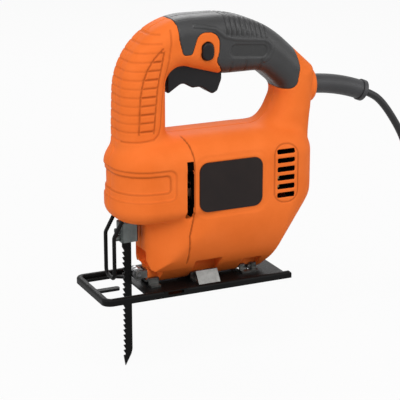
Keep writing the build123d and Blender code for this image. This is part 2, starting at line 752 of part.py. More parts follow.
def crank_pin():
    pin = rod_x(GEAR_SPAN[0], ROLLER_SPAN[1] + 0.3, CRANK_PIN_RADIUS, CRANK_THROW, GEAR_Z)
    collar = rod_x(GEAR_SPAN[1], ROLLER_SPAN[0] - 0.2, CRANK_PIN_RADIUS + 1, CRANK_THROW, GEAR_Z)
    return pin + collar + rod_x(ROLLER_SPAN[1] + 0.1, YOKE_SPAN[1] + 0.6, ROLLER_RADIUS - 0.8,
                                CRANK_THROW, GEAR_Z)


def crank_roller():
    tube = rod_x(*ROLLER_SPAN, ROLLER_RADIUS, CRANK_THROW, GEAR_Z)
    return tube - rod_x(*ROLLER_SPAN, CRANK_PIN_RADIUS + SEAT_GAP, CRANK_THROW, GEAR_Z)


def slot_half_height():
    return ROLLER_RADIUS + LOST_MOTION


def yoke_half_height():
    return slot_half_height() + YOKE_BRIDGE


def slot_half_width():
    return CRANK_THROW + ROLLER_RADIUS + RUN_GAP


def yoke_half_width():
    return slot_half_width() + YOKE_WALL


def plunger():
    rod = rod_z(CLAMP_BORE_Z, PLUNGER_TOP, PLUNGER_RADIUS, x=PLUNGER_X)
    tall, wide = yoke_half_height(), yoke_half_width()
    frame = prism_x(RectangleRounded(2 * wide, 2 * tall, 3) - RectangleRounded(2 * slot_half_width(),
                                                                               2 * slot_half_height(),
                                                                               2),
                    *YOKE_SPAN)
    frame = Pos(0, 0, GEAR_Z) * frame
    for side in (1, -1):
        low, high = sorted((GEAR_Z + side * slot_half_height(), GEAR_Z + side * tall))
        frame = frame + block((YOKE_SPAN[0], PLUNGER_X), (-PLUNGER_RADIUS + 0.5, PLUNGER_RADIUS - 0.5),
                              (low, high))
    return rod + frame


def bush(span):
    body = rod_z(*span, BUSH_RADIUS, x=PLUNGER_X)
    return body - rod_z(span[0] - 1, span[1] + 1, PLUNGER_RADIUS + PIVOT_GAP / 2, x=PLUNGER_X)


# Blade, clamp and guide


def blade_outline():
    front = BLADE_BACK + BLADE_WIDTH
    gullet = front - TOOTH_DEPTH
    top = CLAMP_BORE_Z - 0.4
    teeth = int((CLAMP_Z[0] - 5 - BLADE_TIP) / TOOTH_PITCH) - 1
    points = [(BLADE_BACK, top), (front, top), (front, CLAMP_Z[0] - 5)]
    for i in range(teeth):
        level = CLAMP_Z[0] - 5 - TOOTH_PITCH * (i + 1)
        points.append((gullet, level + TOOTH_PITCH * 0.12))
        points.append((front, level))
    points.append((front - 1.4, BLADE_TIP))
    points.append((BLADE_BACK + 1.0, BLADE_TIP + 9))
    points.append((BLADE_BACK, BLADE_TIP + 13))
    return Polygon(*points, align=None)


def saw_blade():
    return prism_y(blade_outline(), -BLADE_THICKNESS / 2, BLADE_THICKNESS / 2)


def blade_clamp():
    body = block(CLAMP_SPAN, (-CLAMP_HALF, CLAMP_HALF), CLAMP_Z)
    body = chamfer(body.edges().filter_by(Axis.Z), 1.2)
    body = body - rod_z(CLAMP_BORE_Z, CLAMP_Z[1] + 1, PLUNGER_RADIUS + SEAT_GAP, x=PLUNGER_X)
    slot = BLADE_THICKNESS / 2 + SEAT_GAP
    body = body - block((BLADE_BACK - SEAT_GAP, BLADE_BACK + BLADE_WIDTH + SEAT_GAP), (-slot, slot),
                        (CLAMP_Z[0] - 1, CLAMP_BORE_Z))
    for z in CLAMP_SCREW_Z:
        body = body - rod_x(BLADE_BACK + BLADE_WIDTH, CLAMP_SPAN[1] + 1, CLAMP_SCREW_RADIUS - 0.6
                            + SEAT_GAP, z=z)
    return body


def clamp_screws():
    screws = []
    for z in CLAMP_SCREW_Z:
        shank = rod_x(BLADE_BACK + BLADE_WIDTH + 0.2, CLAMP_SPAN[1], CLAMP_SCREW_RADIUS - 0.6, z=z)
        head = rod_x(CLAMP_SPAN[1], CLAMP_SPAN[1] + CLAMP_SCREW_HEAD, CLAMP_SCREW_RADIUS, z=z)
        socket = Pos(CLAMP_SPAN[1] + 1.2, 0, z) * extrude(Plane.YZ * RegularPolygon(1.3, 6),
                                                          CLAMP_SCREW_HEAD)
        screws.append(shank + head - socket)
    return group(screws)


def guide_x():
    return BLADE_BACK - RUN_GAP - GUIDE_GROOVE_RADIUS


def guide_stem(gap=0.0):
    return rod_x(KEEL_SPAN[1] - 7, KEEL_SPAN[1] + 0.5, 2 + gap, z=BEVEL_AXIS_Z)


def guide_roller():
    flange = GUIDE_GROOVE_RADIUS + GUIDE_FLANGE
    wheel = rod_y(-GUIDE_ROLLER_HALF, GUIDE_ROLLER_HALF, flange, guide_x(), BEVEL_AXIS_Z)
    slot = BLADE_THICKNESS / 2 + RUN_GAP
    groove = rod_y(-slot, slot, flange + 1, guide_x(), BEVEL_AXIS_Z)
    groove = groove - rod_y(-slot, slot, GUIDE_GROOVE_RADIUS, guide_x(), BEVEL_AXIS_Z)
    bore = rod_y(-GUIDE_ROLLER_HALF, GUIDE_ROLLER_HALF, GUIDE_PIN_RADIUS + PIVOT_GAP / 2, guide_x(),
                 BEVEL_AXIS_Z)
    return wheel - groove - bore


def guide_bracket():
    inner = GUIDE_ROLLER_HALF + RUN_GAP
    outer = inner + GUIDE_CHEEK
    low, high = BEVEL_AXIS_Z - 3, BEVEL_AXIS_Z + 3
    front = guide_x() + GUIDE_PIN_RADIUS + 1.2
    body = block((KEEL_SPAN[1], KEEL_SPAN[1] + 1.1), (-outer, outer), (low, high)) + guide_stem()
    for side in (1, -1):
        a, b = sorted((side * inner, side * outer))
        body = body + block((KEEL_SPAN[1], front), (a, b), (low, high))
    return body - rod_y(-outer - 1, outer + 1, GUIDE_PIN_RADIUS + SEAT_GAP, guide_x(), BEVEL_AXIS_Z)


def guide_pin():
    outer = GUIDE_ROLLER_HALF + RUN_GAP + GUIDE_CHEEK
    return rod_y(-outer, outer, GUIDE_PIN_RADIUS, guide_x(), BEVEL_AXIS_Z)


def wire(radius):
    """Bent wire finger guard in front of the blade."""
    side = [(GUARD_ROOT[0], GUARD_HALF, GUARD_ROOT[1]), (GUARD_X, GUARD_HALF, GUARD_BEND_Z),
            (GUARD_X, GUARD_HALF, GUARD_FOOT_Z)]
    path = FilletPolyline(*side, *[(x, -y, z) for x, y, z in reversed(side)], radius=5)
    return sweep(Plane(origin=path @ 0, z_dir=path % 0) * Circle(radius), path)


# Shoe


def shoe_outline(inset, front_inset, rear):
    """Plan of the shoe with round front corners, taken in at the sides and front."""
    half = SHOE_WIDTH / 2 - inset
    front = SHOE_FRONT - front_inset
    corner = SHOE_CORNER - inset
    return rounded([(front, -half, corner), (front, half, corner), (rear, half, 0), (rear, -half, 0)])


def shoe_window():
    front = SHOE_FRONT - FRONT_BAR - 1
    side = [(WINDOW_REAR, WINDOW_HALF - 5, 4), (WINDOW_REAR + 8, WINDOW_HALF, 4), (front, WINDOW_HALF,
                                                                                   4),
            (front, CENTRE_BAR_HALF, 2), (CENTRE_BAR_REAR, CENTRE_BAR_HALF, 2)]
    return rounded(side + [(x, -y, r) for x, y, r in reversed(side)])


def fence_straps():
    """Flat-topped part of each rail over the slot for the parallel fence."""
    straps = []
    reach = FENCE_SLOT_WIDTH / 2 + 3
    for side in (1, -1):
        span = sorted((side * (SHOE_WIDTH / 2 - RAIL_WIDTH + RAIL_ROUND), side * SHOE_WIDTH / 2))
        straps.append(block((FENCE_SLOT_X - reach, FENCE_SLOT_X + reach), span,
                            (0, SHOE_THICKNESS + FENCE_SLOT_HEIGHT + FENCE_STRAP)))
    return straps


def shoe_plate():
    """Pressed shoe with a rolled rim round its sides and front."""
    plate = prism_z(shoe_outline(0, 0, SHOE_REAR + 1.5), 0, SHOE_THICKNESS)
    rim = shoe_outline(0, 0, SHOE_REAR) - shoe_outline(RAIL_WIDTH, FRONT_BAR, SHOE_REAR - 5)
    rim = prism_z(rim, 0, RAIL_HEIGHT)
    plate = plate + fillet(rim.edges().group_by(Axis.Z)[-1], RAIL_ROUND)
    for strap in fence_straps():
        plate = plate + strap
    plate = plate - prism_z(shoe_window(), -1, RAIL_HEIGHT + 1)
    slot = (FENCE_SLOT_X - FENCE_SLOT_WIDTH / 2, FENCE_SLOT_X + FENCE_SLOT_WIDTH / 2)
    plate = plate - block(slot, (-FAR, FAR), (SHOE_THICKNESS, SHOE_THICKNESS + FENCE_SLOT_HEIGHT))
    for x in SHOE_SCREW_X:
        reach = SHOE_SCREW_HEAD + 1.5
        plate = plate - block((x - reach, x + reach), (-9.5, 9.5), (-1, SHOE_THICKNESS + 1))
    return plate


def saddle(span):
    """Half-round steel saddle that the housing keel turns in, with a foot each side."""
    trough = rod_x(*span, SADDLE_OUTER, z=BEVEL_AXIS_Z) - rod_x(*span, SADDLE_INNER, z=BEVEL_AXIS_Z)
    lip = BEVEL_AXIS_Z - SADDLE_INNER * math.cos(math.radians(SADDLE_ANGLE))
    body = trough & block(span, (-FAR, FAR), (0, lip))
    for side in (1, -1):
        web = block(span, sorted((side * (SADDLE_INNER + 0.2),
                                  side * (SADDLE_INNER + 0.2 + SADDLE_SHEET))), (SHOE_THICKNESS, lip))
        foot = block(span, sorted((side * (SADDLE_INNER + 0.2), side * SADDLE_FOOT)),
                     (SHOE_THICKNESS, SHOE_THICKNESS + SADDLE_SHEET))
        body = body + web + foot
    for x in SHOE_SCREW_X:
        if span[0] < x < span[1]:
            body = body - bevel_slot(x) - head_room(x)
    return body


def head_room(x):
    """Room round the head of a clamp screw as the shoe tilts past it."""
    half = SHOE_SCREW_HEAD + RUN_GAP
    seat = SADDLE_OUTER + SEAT_GAP
    outer = math.hypot(seat + SHOE_SCREW_HEAD_HEIGHT, SHOE_SCREW_HEAD) + RUN_GAP
    ring = rod_x(x - half, x + half, outer, z=BEVEL_AXIS_Z)
    return ring - rod_x(x - half, x + half, SADDLE_OUTER, z=BEVEL_AXIS_Z)


def bevel_slot(x):
    """Arc slot that lets the shoe tilt past a clamp screw."""
    width = 2 * (SHOE_SCREW_RADIUS + 0.3)
    ring = rod_x(x - width / 2, x + width / 2, SADDLE_OUTER + 1, z=BEVEL_AXIS_Z)
    reach = math.radians(BEVEL_SLOT_ANGLE + 14)
    level = BEVEL_AXIS_Z - SADDLE_INNER * math.cos(reach)
    return ring & block((-FAR, FAR), (-FAR, FAR), (0, level))


def middle_saddle():
    body = saddle(MIDDLE_SADDLE)
    top_y, top_z = WING_TOP
    thick = SADDLE_SHEET
    base = SHOE_THICKNESS
    for side in (1, -1):
        wing = rounded([(side * (WING_FOOT_Y + thick), base, 0), (side * (top_y + thick), top_z, 0.5),
                        (side * top_y, top_z, 0.5), (side * (WING_FOOT_Y - 1.2), base + thick, 0),
                        (side * SADDLE_FOOT, base + thick, 0), (side * SADDLE_FOOT, base, 0)])
        body = body + prism_x(wing, *WING_SPAN)
    return body


def shoe_screw_rods(gap):
    top = BEVEL_AXIS_Z - KEEL_RADIUS + SHOE_SCREW_LENGTH
    return [rod_z(0, top, SHOE_SCREW_RADIUS + gap, x) for x in SHOE_SCREW_X]


def shoe_screws():
    top = BEVEL_AXIS_Z - KEEL_RADIUS + SHOE_SCREW_LENGTH
    seat = BEVEL_AXIS_Z - SADDLE_OUTER - SEAT_GAP
    screws = []
    for x in SHOE_SCREW_X:
        head = rod_z(seat - SHOE_SCREW_HEAD_HEIGHT, seat, SHOE_SCREW_HEAD, x)
        socket = Pos(x, 0, seat - SHOE_SCREW_HEAD_HEIGHT) * extrude(RegularPolygon(1.8, 6), 1.4)
        screws.append(head + rod_z(seat, top - 0.5, SHOE_SCREW_RADIUS, x) - socket)
    return group(screws)


# Controls


def trigger():
    face = rounded([(13.4, 149.2, 1), (1, 157.2, 6), (-7, 152.4, 4), (-14, 152.7, 8), (-23.5, 146.2, 3),
                    (-27.6, 148.4, 2), (-31, 157, 2), (-31, 170, 2), (2.9, 174.4, 0),
                    (3.4, 179.6, 2), (12.2, 179.6, 2), (13.4, 170, 0)])
    body = prism_y(face, -TRIGGER_HALF, TRIGGER_HALF)
    body = chamfer(body.edges().group_by(Axis.Y)[0] + body.edges().group_by(Axis.Y)[-1], 0.8)
    return body + rod_y(-TRIGGER_HALF - 2.6, TRIGGER_HALF + 2.6, TRIGGER_PIN_RADIUS, *TRIGGER_PIVOT)


def lock_button():
    top = HANDLE_HALF + BUTTON_PROUD
    stem = prism_y(button_outline(), 12.6, top)
    stem = fillet(stem.edges().group_by(Axis.Y)[-1], 1.6)
    return stem + prism_y(button_outline(1.0), 12.6, 13.6)


def switch_module():
    body = block(SWITCH_SPAN, (-SWITCH_HALF, SWITCH_HALF), (SWITCH_Z[0] + 6, SWITCH_Z[1]))
    body = chamfer(body.edges().filter_by(Axis.Y), 1)
    return body


def capacitor():
    can = block((-56, -44), (-5.3, 5.3), (175.5, 186))
    return fillet(can.edges().filter_by(Axis.Y), 1.5)


# Cord


def relief_spot(distance):
    """Point on the drooping axis of the strain relief, so far from the boss mouth."""
    plane = relief_plane()
    tilt = math.radians(BOSS_TILT)
    down = Vector(math.sin(tilt), 0, -math.cos(tilt))
    turn = distance / RELIEF_BEND
    back = plane.z_dir * (RELIEF_BEND * math.sin(turn))
    return plane.origin + back + down * (RELIEF_BEND * (1 - math.cos(turn)))


def relief_tube(start, end, radius):
    path = ThreePointArc(relief_spot(start), relief_spot((start + end) / 2), relief_spot(end))
    return sweep(Plane(origin=path @ 0, z_dir=path % 0) * Circle(radius), path)


def relief_length():
    return math.radians(RELIEF_TURN) * RELIEF_BEND


def strain_relief():
    length = relief_length()
    body = relief_tube(0, length, RELIEF_RADIUS) + relief_tube(length - 3.4, length, RELIEF_COLLAR)
    body = body + relief_plane() * Pos(0, 0, -7) * Cylinder(RELIEF_RADIUS, 14)
    body = body + relief_plane() * Pos(0, 0, -11) * Cylinder(RELIEF_RADIUS + 2.5, 3)
    bore = relief_tube(0, length, CORD_RADIUS + SEAT_GAP)
    bore = bore + relief_plane() * Pos(0, 0, -8) * Cylinder(CORD_RADIUS + SEAT_GAP, 16)
    return body - bore


def relief_room():
    plane = relief_plane()
    return [plane * Pos(0, 0, -7) * Cylinder(RELIEF_RADIUS + SEAT_GAP, 14 + SEAT_GAP),
            plane * Pos(0, 0, -11) * Cylinder(RELIEF_RADIUS + 2.5 + SEAT_GAP, 3 + 2 * SEAT_GAP),
            plane * Pos(0, 0, -17.5) * Cylinder(CORD_RADIUS + 1, 17)]


def cord_tail():
    tail = relief_plane() * Pos(0, 0, -CORD_TAIL / 2) * Cylinder(CORD_RADIUS, CORD_TAIL)
    return tail + relief_tube(0, relief_length(), CORD_RADIUS)


def clamp_level():
    """Underside of the clamp strip, resting on the cord."""
    tilt = math.radians(BOSS_TILT)
    rise = (CLAMP_STRIP_X[1] - BOSS_END[0]) * math.tan(tilt)
    return BOSS_END[1] + rise + CORD_RADIUS / math.cos(tilt) + SEAT_GAP


def cord_clamp():
    """Strip screwed down over the cord inside the rear of the handle."""
    level = clamp_level()
    strip = block(CLAMP_STRIP_X, (-5.3, 5.3), (level, level + 2.6))
    for hole in cord_clamp_rods(SEAT_GAP):
        strip = strip - hole
    return strip


def cord_clamp_rods(gap):
    middle = sum(CLAMP_STRIP_X) / 2
    level = clamp_level()
    return [rod_z(level - 17, level + 2.6, 0.9 + gap, middle, side * 4.3) for side in (1, -1)]


def cord_clamp_screws():
    middle = sum(CLAMP_STRIP_X) / 2
    top = clamp_level() + 2.6
    heads = [rod_z(top, top + 1.2, 1.1, middle, side * 4.3) for side in (1, -1)]
    return group([rod + head for rod, head in zip(cord_clamp_rods(0), heads)])


def cord_route():
    start = relief_spot(relief_length())
    lean = math.radians(BOSS_TILT + RELIEF_TURN)
    heading = Vector(-math.cos(lean), 0, -math.sin(lean))
    return [start, start + heading * CORD_LEAD] + [Vector(*p) for p in CORD_ROUTE_TAIL]


def cord():
    points = cord_route()
    runs = [(b - a).length for a, b in zip(points, points[1:])]
    radii = []
    for i in range(1, len(points) - 1):
        turn = (points[i] - points[i - 1]).get_angle(points[i + 1] - points[i])
        radii.append(0.45 * min(runs[i - 1], runs[i]) / math.tan(math.radians(turn) / 2))
    print("cord radii", [round(r, 1) for r in radii], "runs", [round(r, 1) for r in runs])
    path = FilletPolyline(*points, radius=radii)
    tube = sweep(Plane(origin=path @ 0, z_dir=path % 0) * Circle(CORD_RADIUS), path)
    print("cord volume ratio", round(tube.volume / (math.pi * CORD_RADIUS ** 2 * path.length), 4),
          "length", round(path.length, 1))
    return tube


def coil_spot(turn):
    """Point on the coil after so many turns: in and out again, layer by layer from the top down."""
    swing = COIL_TURNS * COIL_PITCH / 2
    period = COIL_TURNS + 0.5
    layer = min(int(turn / period), COIL_LAYERS - 1)
    local = turn - layer * period
    step = max(0.0, local - COIL_TURNS) / 0.5
    side = 1 if layer % 2 == 0 else -1
    radius = COIL_MEAN + side * (swing - COIL_PITCH * min(local, COIL_TURNS))
    above = COIL_LAYERS - 1 - layer - (1 - math.cos(math.pi * step)) / 2
    level = FLOOR_Z + COIL_FLOOR + CORD_RADIUS + COIL_RISE * above
    angle = -math.pi / 2 - 2 * math.pi * turn
    centre = coil_centre()
    return Vector(centre.X + radius * math.cos(angle), centre.Y + radius * math.sin(angle), level)


def coil_centre():
    last = CORD_ROUTE_TAIL[-1]
    return Vector(last[0], last[1] + COIL_MEAN + COIL_TURNS * COIL_PITCH / 2, 0)


def coil_length_turns():
    return COIL_LAYERS * COIL_TURNS + (COIL_LAYERS - 1) * 0.5


def biarc(p0, t0, p1, t1):
    """Two arcs that join two points with given headings."""
    v = p1 - p0
    t = t0 + t1
    a = 2 * (1 - t0.dot(t1))
    b = 2 * v.dot(t)
    c = -v.dot(v)
    d = (-b + math.sqrt(b * b - 4 * a * c)) / (2 * a) if a > 1e-9 else -c / b
    middle = (p0 + t0 * d + p1 - t1 * d) * 0.5
    chord = (p1 - t1 * d) - (p0 + t0 * d)
    return [TangentArc(p0, middle, tangent=t0), TangentArc(middle, p1, tangent=chord.normalized())]


def coil_heading(turn):
    step = 0.002
    end = coil_length_turns()
    low, high = max(0.0, turn - step), min(end, turn + step)
    return (coil_spot(high) - coil_spot(low)).normalized()


def coil_path():
    end = coil_length_turns()
    count = round(end * 4)
    marks = [end * i / count for i in range(count + 1)]
    headings = [coil_heading(m) for m in marks]
    headings[0] = Vector(-1, 0, 0)
    edges = []
    for i in range(count):
        edges += biarc(coil_spot(marks[i]), headings[i], coil_spot(marks[i + 1]), headings[i + 1])
    tail_start = coil_spot(end)
    edges.append(Line(tail_start, tail_start + headings[-1] * COIL_TAIL))
    return Wire(edges)


def cord_coil():
    path = coil_path()
    start = Plane(origin=path @ 0, x_dir=(0, 0, 1), z_dir=path % 0)
    section = start * RegularPolygon(CORD_RADIUS, COIL_SIDES, rotation=30)
    tube = sweep(section, path)
    print("coil volume ratio", round(tube.volume / (section.area * path.length), 4), "length",
          round(path.length, 1))
    steps = 40
    count = int(coil_length_turns() * steps)
    spots = [coil_spot(i / steps) for i in range(count)]
    gap = min((spots[i] - spots[j]).length for i in range(count) for j in range(i + steps // 2, count))
    print("least coil gap", round(gap - 2 * CORD_RADIUS, 2))
    return tube


def coil_tie():
    """Band strapped round one side of the coil."""
    centre = coil_centre()
    wide = COIL_TURNS * COIL_PITCH + 2 * CORD_RADIUS + 1.8
    tall = COIL_FLOOR - TIE_SHEET + (COIL_LAYERS - 1) * COIL_RISE + 2 * CORD_RADIUS + 0.4
    band = RectangleRounded(wide + 2 * TIE_SHEET, tall + 2 * TIE_SHEET, 4) - RectangleRounded(wide,
                                                                                              tall, 3)
    loop = extrude(Plane.XZ * band, TIE_WIDTH / 2, both=True)
    return Pos(centre.X - COIL_MEAN + 0.5, centre.Y, FLOOR_Z + tall / 2 + TIE_SHEET) * loop


def plug_plane():
    path = coil_path()
    return Plane(origin=path @ 1, x_dir=(0, 0, 1), z_dir=path % 1)


def plug_lift():
    """How far the plug's middle sits above the cord, so that it lies on the same surface."""
    return PLUG_HEIGHT / 2 + 0.2 - COIL_FLOOR - CORD_RADIUS


def plug_body():
    plane = plug_plane()
    sleeve = plane * Pos(0, 0, 6) * Cone(CORD_RADIUS + 0.8, CORD_RADIUS + 1.5, 12)
    body = extrude(plane * Pos(plug_lift(), 0, 10) * RectangleRounded(PLUG_HEIGHT, PLUG_WIDTH, 5),
                   PLUG_LENGTH)
    return sleeve + body


def plug_pins():
    plane = plug_plane()
    start = 10 + PLUG_LENGTH
    pins = []
    for side in (1, -1):
        pins.append(plane * Pos(plug_lift(), side * PLUG_PIN_GAP / 2,
                                start + PLUG_PIN_LENGTH / 2) * Cylinder(PLUG_PIN_RADIUS,
                                                                        PLUG_PIN_LENGTH))
    return group(pins)


def main():
    os.makedirs("parts", exist_ok=True)
    form = housing_form()
    skin = grip_skin(handle_form(0))
    nodes = {
        "left_housing": left_housing(form, skin),
        "right_housing": right_housing(form, skin),
        "left_grip": skin & left_side(),
        "right_grip": right_grip(skin),
        "side_plate": side_plate(),
        "housing_screws": housing_screws(),
        "stator_core": stator_core(),
        "field_coils": field_coils(),
        "armature_core": armature_core(),
        "armature_windings": armature_windings(),
        "armature_shaft": armature_shaft(),
        "commutator": commutator(),
        "fan": fan(),
        "front_bearing": bearing(FRONT_BEARING, FRONT_BEARING_RADIUS),
        "rear_bearing": bearing(REAR_BEARING, REAR_BEARING_RADIUS),
        "bearing_boot": bearing_boot(),
        "bearing_plate": bearing_plate(),
        "brush_holders": brush_holders(),
        "carbon_brushes": carbon_brushes(),
        "pinion": pinion(),
        "drive_gear": drive_gear(),
        "gear_axle": gear_axle(),
        "crank_pin": crank_pin(),
        "crank_roller": crank_roller(),
        "plunger": plunger(),
        "lower_bush": bush(LOWER_BUSH),
        "upper_bush": bush(UPPER_BUSH),
        "blade_clamp": blade_clamp(),
        "clamp_screws": clamp_screws(),
        "saw_blade": saw_blade(),
        "guide_bracket": guide_bracket(),
        "guide_roller": guide_roller(),
        "guide_pin": guide_pin(),
        "finger_guard": wire(GUARD_WIRE_RADIUS),
        "shoe_plate": shoe_plate(),
        "front_saddle": saddle(FRONT_SADDLE),
        "middle_saddle": middle_saddle(),
        "rear_saddle": saddle(REAR_SADDLE),
        "shoe_screws": shoe_screws(),
        "trigger": trigger(),
        "lock_button": lock_button(),
        "switch_module": switch_module(),
        "capacitor": capacitor(),
        "strain_relief": strain_relief(),
        "cord_tail": cord_tail(),
        "cord_clamp": cord_clamp(),
        "cord_clamp_screws": cord_clamp_screws(),
        "cord": cord(),
        "cord_coil": cord_coil(),
        "coil_tie": coil_tie(),
        "plug_body": plug_body(),
        "plug_pins": plug_pins(),
    }
    for name, shape in nodes.items():
        export_step(shape, f"parts/{name}.step")


if __name__ == "__main__":
    main()
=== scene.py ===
import json
import math

import bmesh
import bpy
import numpy as np
from mathutils import Matrix, Vector
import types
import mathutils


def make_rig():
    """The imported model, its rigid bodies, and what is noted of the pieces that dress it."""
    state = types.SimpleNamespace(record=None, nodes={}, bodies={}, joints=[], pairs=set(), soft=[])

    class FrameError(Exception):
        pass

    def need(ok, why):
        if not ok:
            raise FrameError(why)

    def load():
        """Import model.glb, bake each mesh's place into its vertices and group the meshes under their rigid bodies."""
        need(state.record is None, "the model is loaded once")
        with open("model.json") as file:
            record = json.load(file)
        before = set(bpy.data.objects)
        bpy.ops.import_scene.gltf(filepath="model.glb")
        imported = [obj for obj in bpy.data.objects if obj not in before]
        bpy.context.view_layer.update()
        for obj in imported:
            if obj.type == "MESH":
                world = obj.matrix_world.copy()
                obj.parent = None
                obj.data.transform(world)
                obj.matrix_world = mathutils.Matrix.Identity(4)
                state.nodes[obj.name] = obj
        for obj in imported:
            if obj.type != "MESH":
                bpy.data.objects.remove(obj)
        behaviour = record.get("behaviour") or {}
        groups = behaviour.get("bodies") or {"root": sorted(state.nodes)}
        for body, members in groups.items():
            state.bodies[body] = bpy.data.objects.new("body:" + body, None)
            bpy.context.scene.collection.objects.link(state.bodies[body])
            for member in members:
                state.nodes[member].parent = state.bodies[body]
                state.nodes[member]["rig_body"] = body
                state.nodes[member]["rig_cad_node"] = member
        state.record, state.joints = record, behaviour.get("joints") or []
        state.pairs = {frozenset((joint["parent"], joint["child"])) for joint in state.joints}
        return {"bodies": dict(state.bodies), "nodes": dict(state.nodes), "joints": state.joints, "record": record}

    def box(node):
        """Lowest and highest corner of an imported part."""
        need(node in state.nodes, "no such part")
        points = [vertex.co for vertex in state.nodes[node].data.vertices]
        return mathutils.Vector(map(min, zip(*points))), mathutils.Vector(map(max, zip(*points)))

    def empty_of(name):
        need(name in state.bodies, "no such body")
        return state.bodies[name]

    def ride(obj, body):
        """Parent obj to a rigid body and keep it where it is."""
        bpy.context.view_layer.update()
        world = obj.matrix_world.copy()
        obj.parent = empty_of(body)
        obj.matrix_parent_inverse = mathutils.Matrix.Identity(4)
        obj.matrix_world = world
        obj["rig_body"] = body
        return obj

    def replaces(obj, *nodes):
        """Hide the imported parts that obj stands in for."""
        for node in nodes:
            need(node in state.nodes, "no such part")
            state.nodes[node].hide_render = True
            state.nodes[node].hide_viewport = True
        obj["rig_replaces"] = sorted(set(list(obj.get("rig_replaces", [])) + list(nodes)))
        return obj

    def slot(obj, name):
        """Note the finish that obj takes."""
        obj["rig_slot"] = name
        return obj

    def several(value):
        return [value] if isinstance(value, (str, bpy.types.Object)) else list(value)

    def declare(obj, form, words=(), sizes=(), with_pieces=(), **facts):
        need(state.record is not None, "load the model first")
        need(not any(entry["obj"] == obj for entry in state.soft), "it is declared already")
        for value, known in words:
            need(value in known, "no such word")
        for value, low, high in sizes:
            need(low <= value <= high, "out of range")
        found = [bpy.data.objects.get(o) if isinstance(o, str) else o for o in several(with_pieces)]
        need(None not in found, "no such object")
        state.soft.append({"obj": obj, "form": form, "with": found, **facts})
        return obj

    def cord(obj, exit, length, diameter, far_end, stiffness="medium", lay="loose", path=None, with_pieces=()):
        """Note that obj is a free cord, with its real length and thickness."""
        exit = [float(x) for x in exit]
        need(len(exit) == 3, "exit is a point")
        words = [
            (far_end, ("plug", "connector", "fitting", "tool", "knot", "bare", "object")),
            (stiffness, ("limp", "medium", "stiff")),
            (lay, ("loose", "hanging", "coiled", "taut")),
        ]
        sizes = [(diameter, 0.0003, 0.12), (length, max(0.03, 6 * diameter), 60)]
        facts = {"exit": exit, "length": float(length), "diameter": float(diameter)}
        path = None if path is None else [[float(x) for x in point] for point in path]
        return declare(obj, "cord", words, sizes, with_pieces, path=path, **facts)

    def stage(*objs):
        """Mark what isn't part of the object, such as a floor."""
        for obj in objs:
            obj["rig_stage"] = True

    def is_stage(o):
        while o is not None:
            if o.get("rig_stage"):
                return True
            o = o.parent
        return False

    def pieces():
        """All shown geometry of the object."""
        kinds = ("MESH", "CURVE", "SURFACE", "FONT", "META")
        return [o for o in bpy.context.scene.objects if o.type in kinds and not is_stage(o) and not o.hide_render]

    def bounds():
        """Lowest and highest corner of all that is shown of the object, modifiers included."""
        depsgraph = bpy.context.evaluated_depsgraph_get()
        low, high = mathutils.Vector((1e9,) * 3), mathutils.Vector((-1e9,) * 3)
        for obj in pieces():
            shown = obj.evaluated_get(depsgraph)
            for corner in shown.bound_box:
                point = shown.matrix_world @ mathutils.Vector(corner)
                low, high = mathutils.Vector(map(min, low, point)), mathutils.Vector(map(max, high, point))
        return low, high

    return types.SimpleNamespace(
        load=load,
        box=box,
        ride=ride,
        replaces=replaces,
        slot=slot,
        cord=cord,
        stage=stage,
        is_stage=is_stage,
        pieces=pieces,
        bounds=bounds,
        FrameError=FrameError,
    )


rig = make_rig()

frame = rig.load()
cad_low, cad_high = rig.bounds()
node = frame["nodes"]
MM = 0.001


# Camera, light and floor

CAMERA_TURN, CAMERA_PITCH = 25, 17
CAMERA_PLACE = (0.4512, 1.0033, 0.4007)
FOCAL_PX, IMAGE_PX = 1511, 400
SENSOR = 36
CLIP = (0.01, 50)
SOFT_LIGHT = 0.32
WHITE_SHOWN = 1.0
FLOOR_LEVEL = cad_low.z - 0.0004
FLOOR_HALF = 6
FLOOR_GREY = 0.6
FLOOR_GLOW = 0.94
LAMPS = (("key", (0.5, 0.9, 1.3), (-0.02, 0, 0.1), 1.1, 13),
         ("fill", (-0.9, 0.9, 0.6), (-0.02, 0, 0.08), 0.9, 5),
         ("front", (1.2, 0.2, 0.5), (0, 0, 0.1), 0.8, 4),
         ("back", (-0.4, -1.1, 0.9), (0, 0, 0.1), 0.9, 6))


def make_camera():
    """The photograph's camera, turned from the left side toward the front and looking down."""
    turn, pitch = math.radians(CAMERA_TURN), math.radians(CAMERA_PITCH)
    ahead = Vector((-math.sin(turn) * math.cos(pitch), -math.cos(turn) * math.cos(pitch), -math.sin(pitch)))
    right = Vector((-math.cos(turn), math.sin(turn), 0))
    up = right.cross(ahead)
    data = bpy.data.cameras.new("camera")
    data.sensor_width = SENSOR
    data.lens = FOCAL_PX / IMAGE_PX * SENSOR
    data.clip_start, data.clip_end = CLIP
    cam = bpy.data.objects.new("camera", data)
    axes = Matrix((right, up, -ahead)).transposed().to_4x4()
    cam.matrix_world = Matrix.Translation(CAMERA_PLACE) @ axes
    bpy.context.scene.collection.objects.link(cam)
    bpy.context.scene.camera = cam


def area_light(name, place, aim, size, watts):
    """A round soft lamp at a place, turned to what it lights."""
    data = bpy.data.lights.new(name, "AREA")
    data.shape = "DISK"
    data.size = size
    data.energy = watts
    lamp = bpy.data.objects.new(name, data)
    lamp.location = place
    lamp.rotation_mode = "QUATERNION"
    lamp.rotation_quaternion = (Vector(aim) - Vector(place)).to_track_quat("-Z", "Y")
    bpy.context.scene.collection.objects.link(lamp)


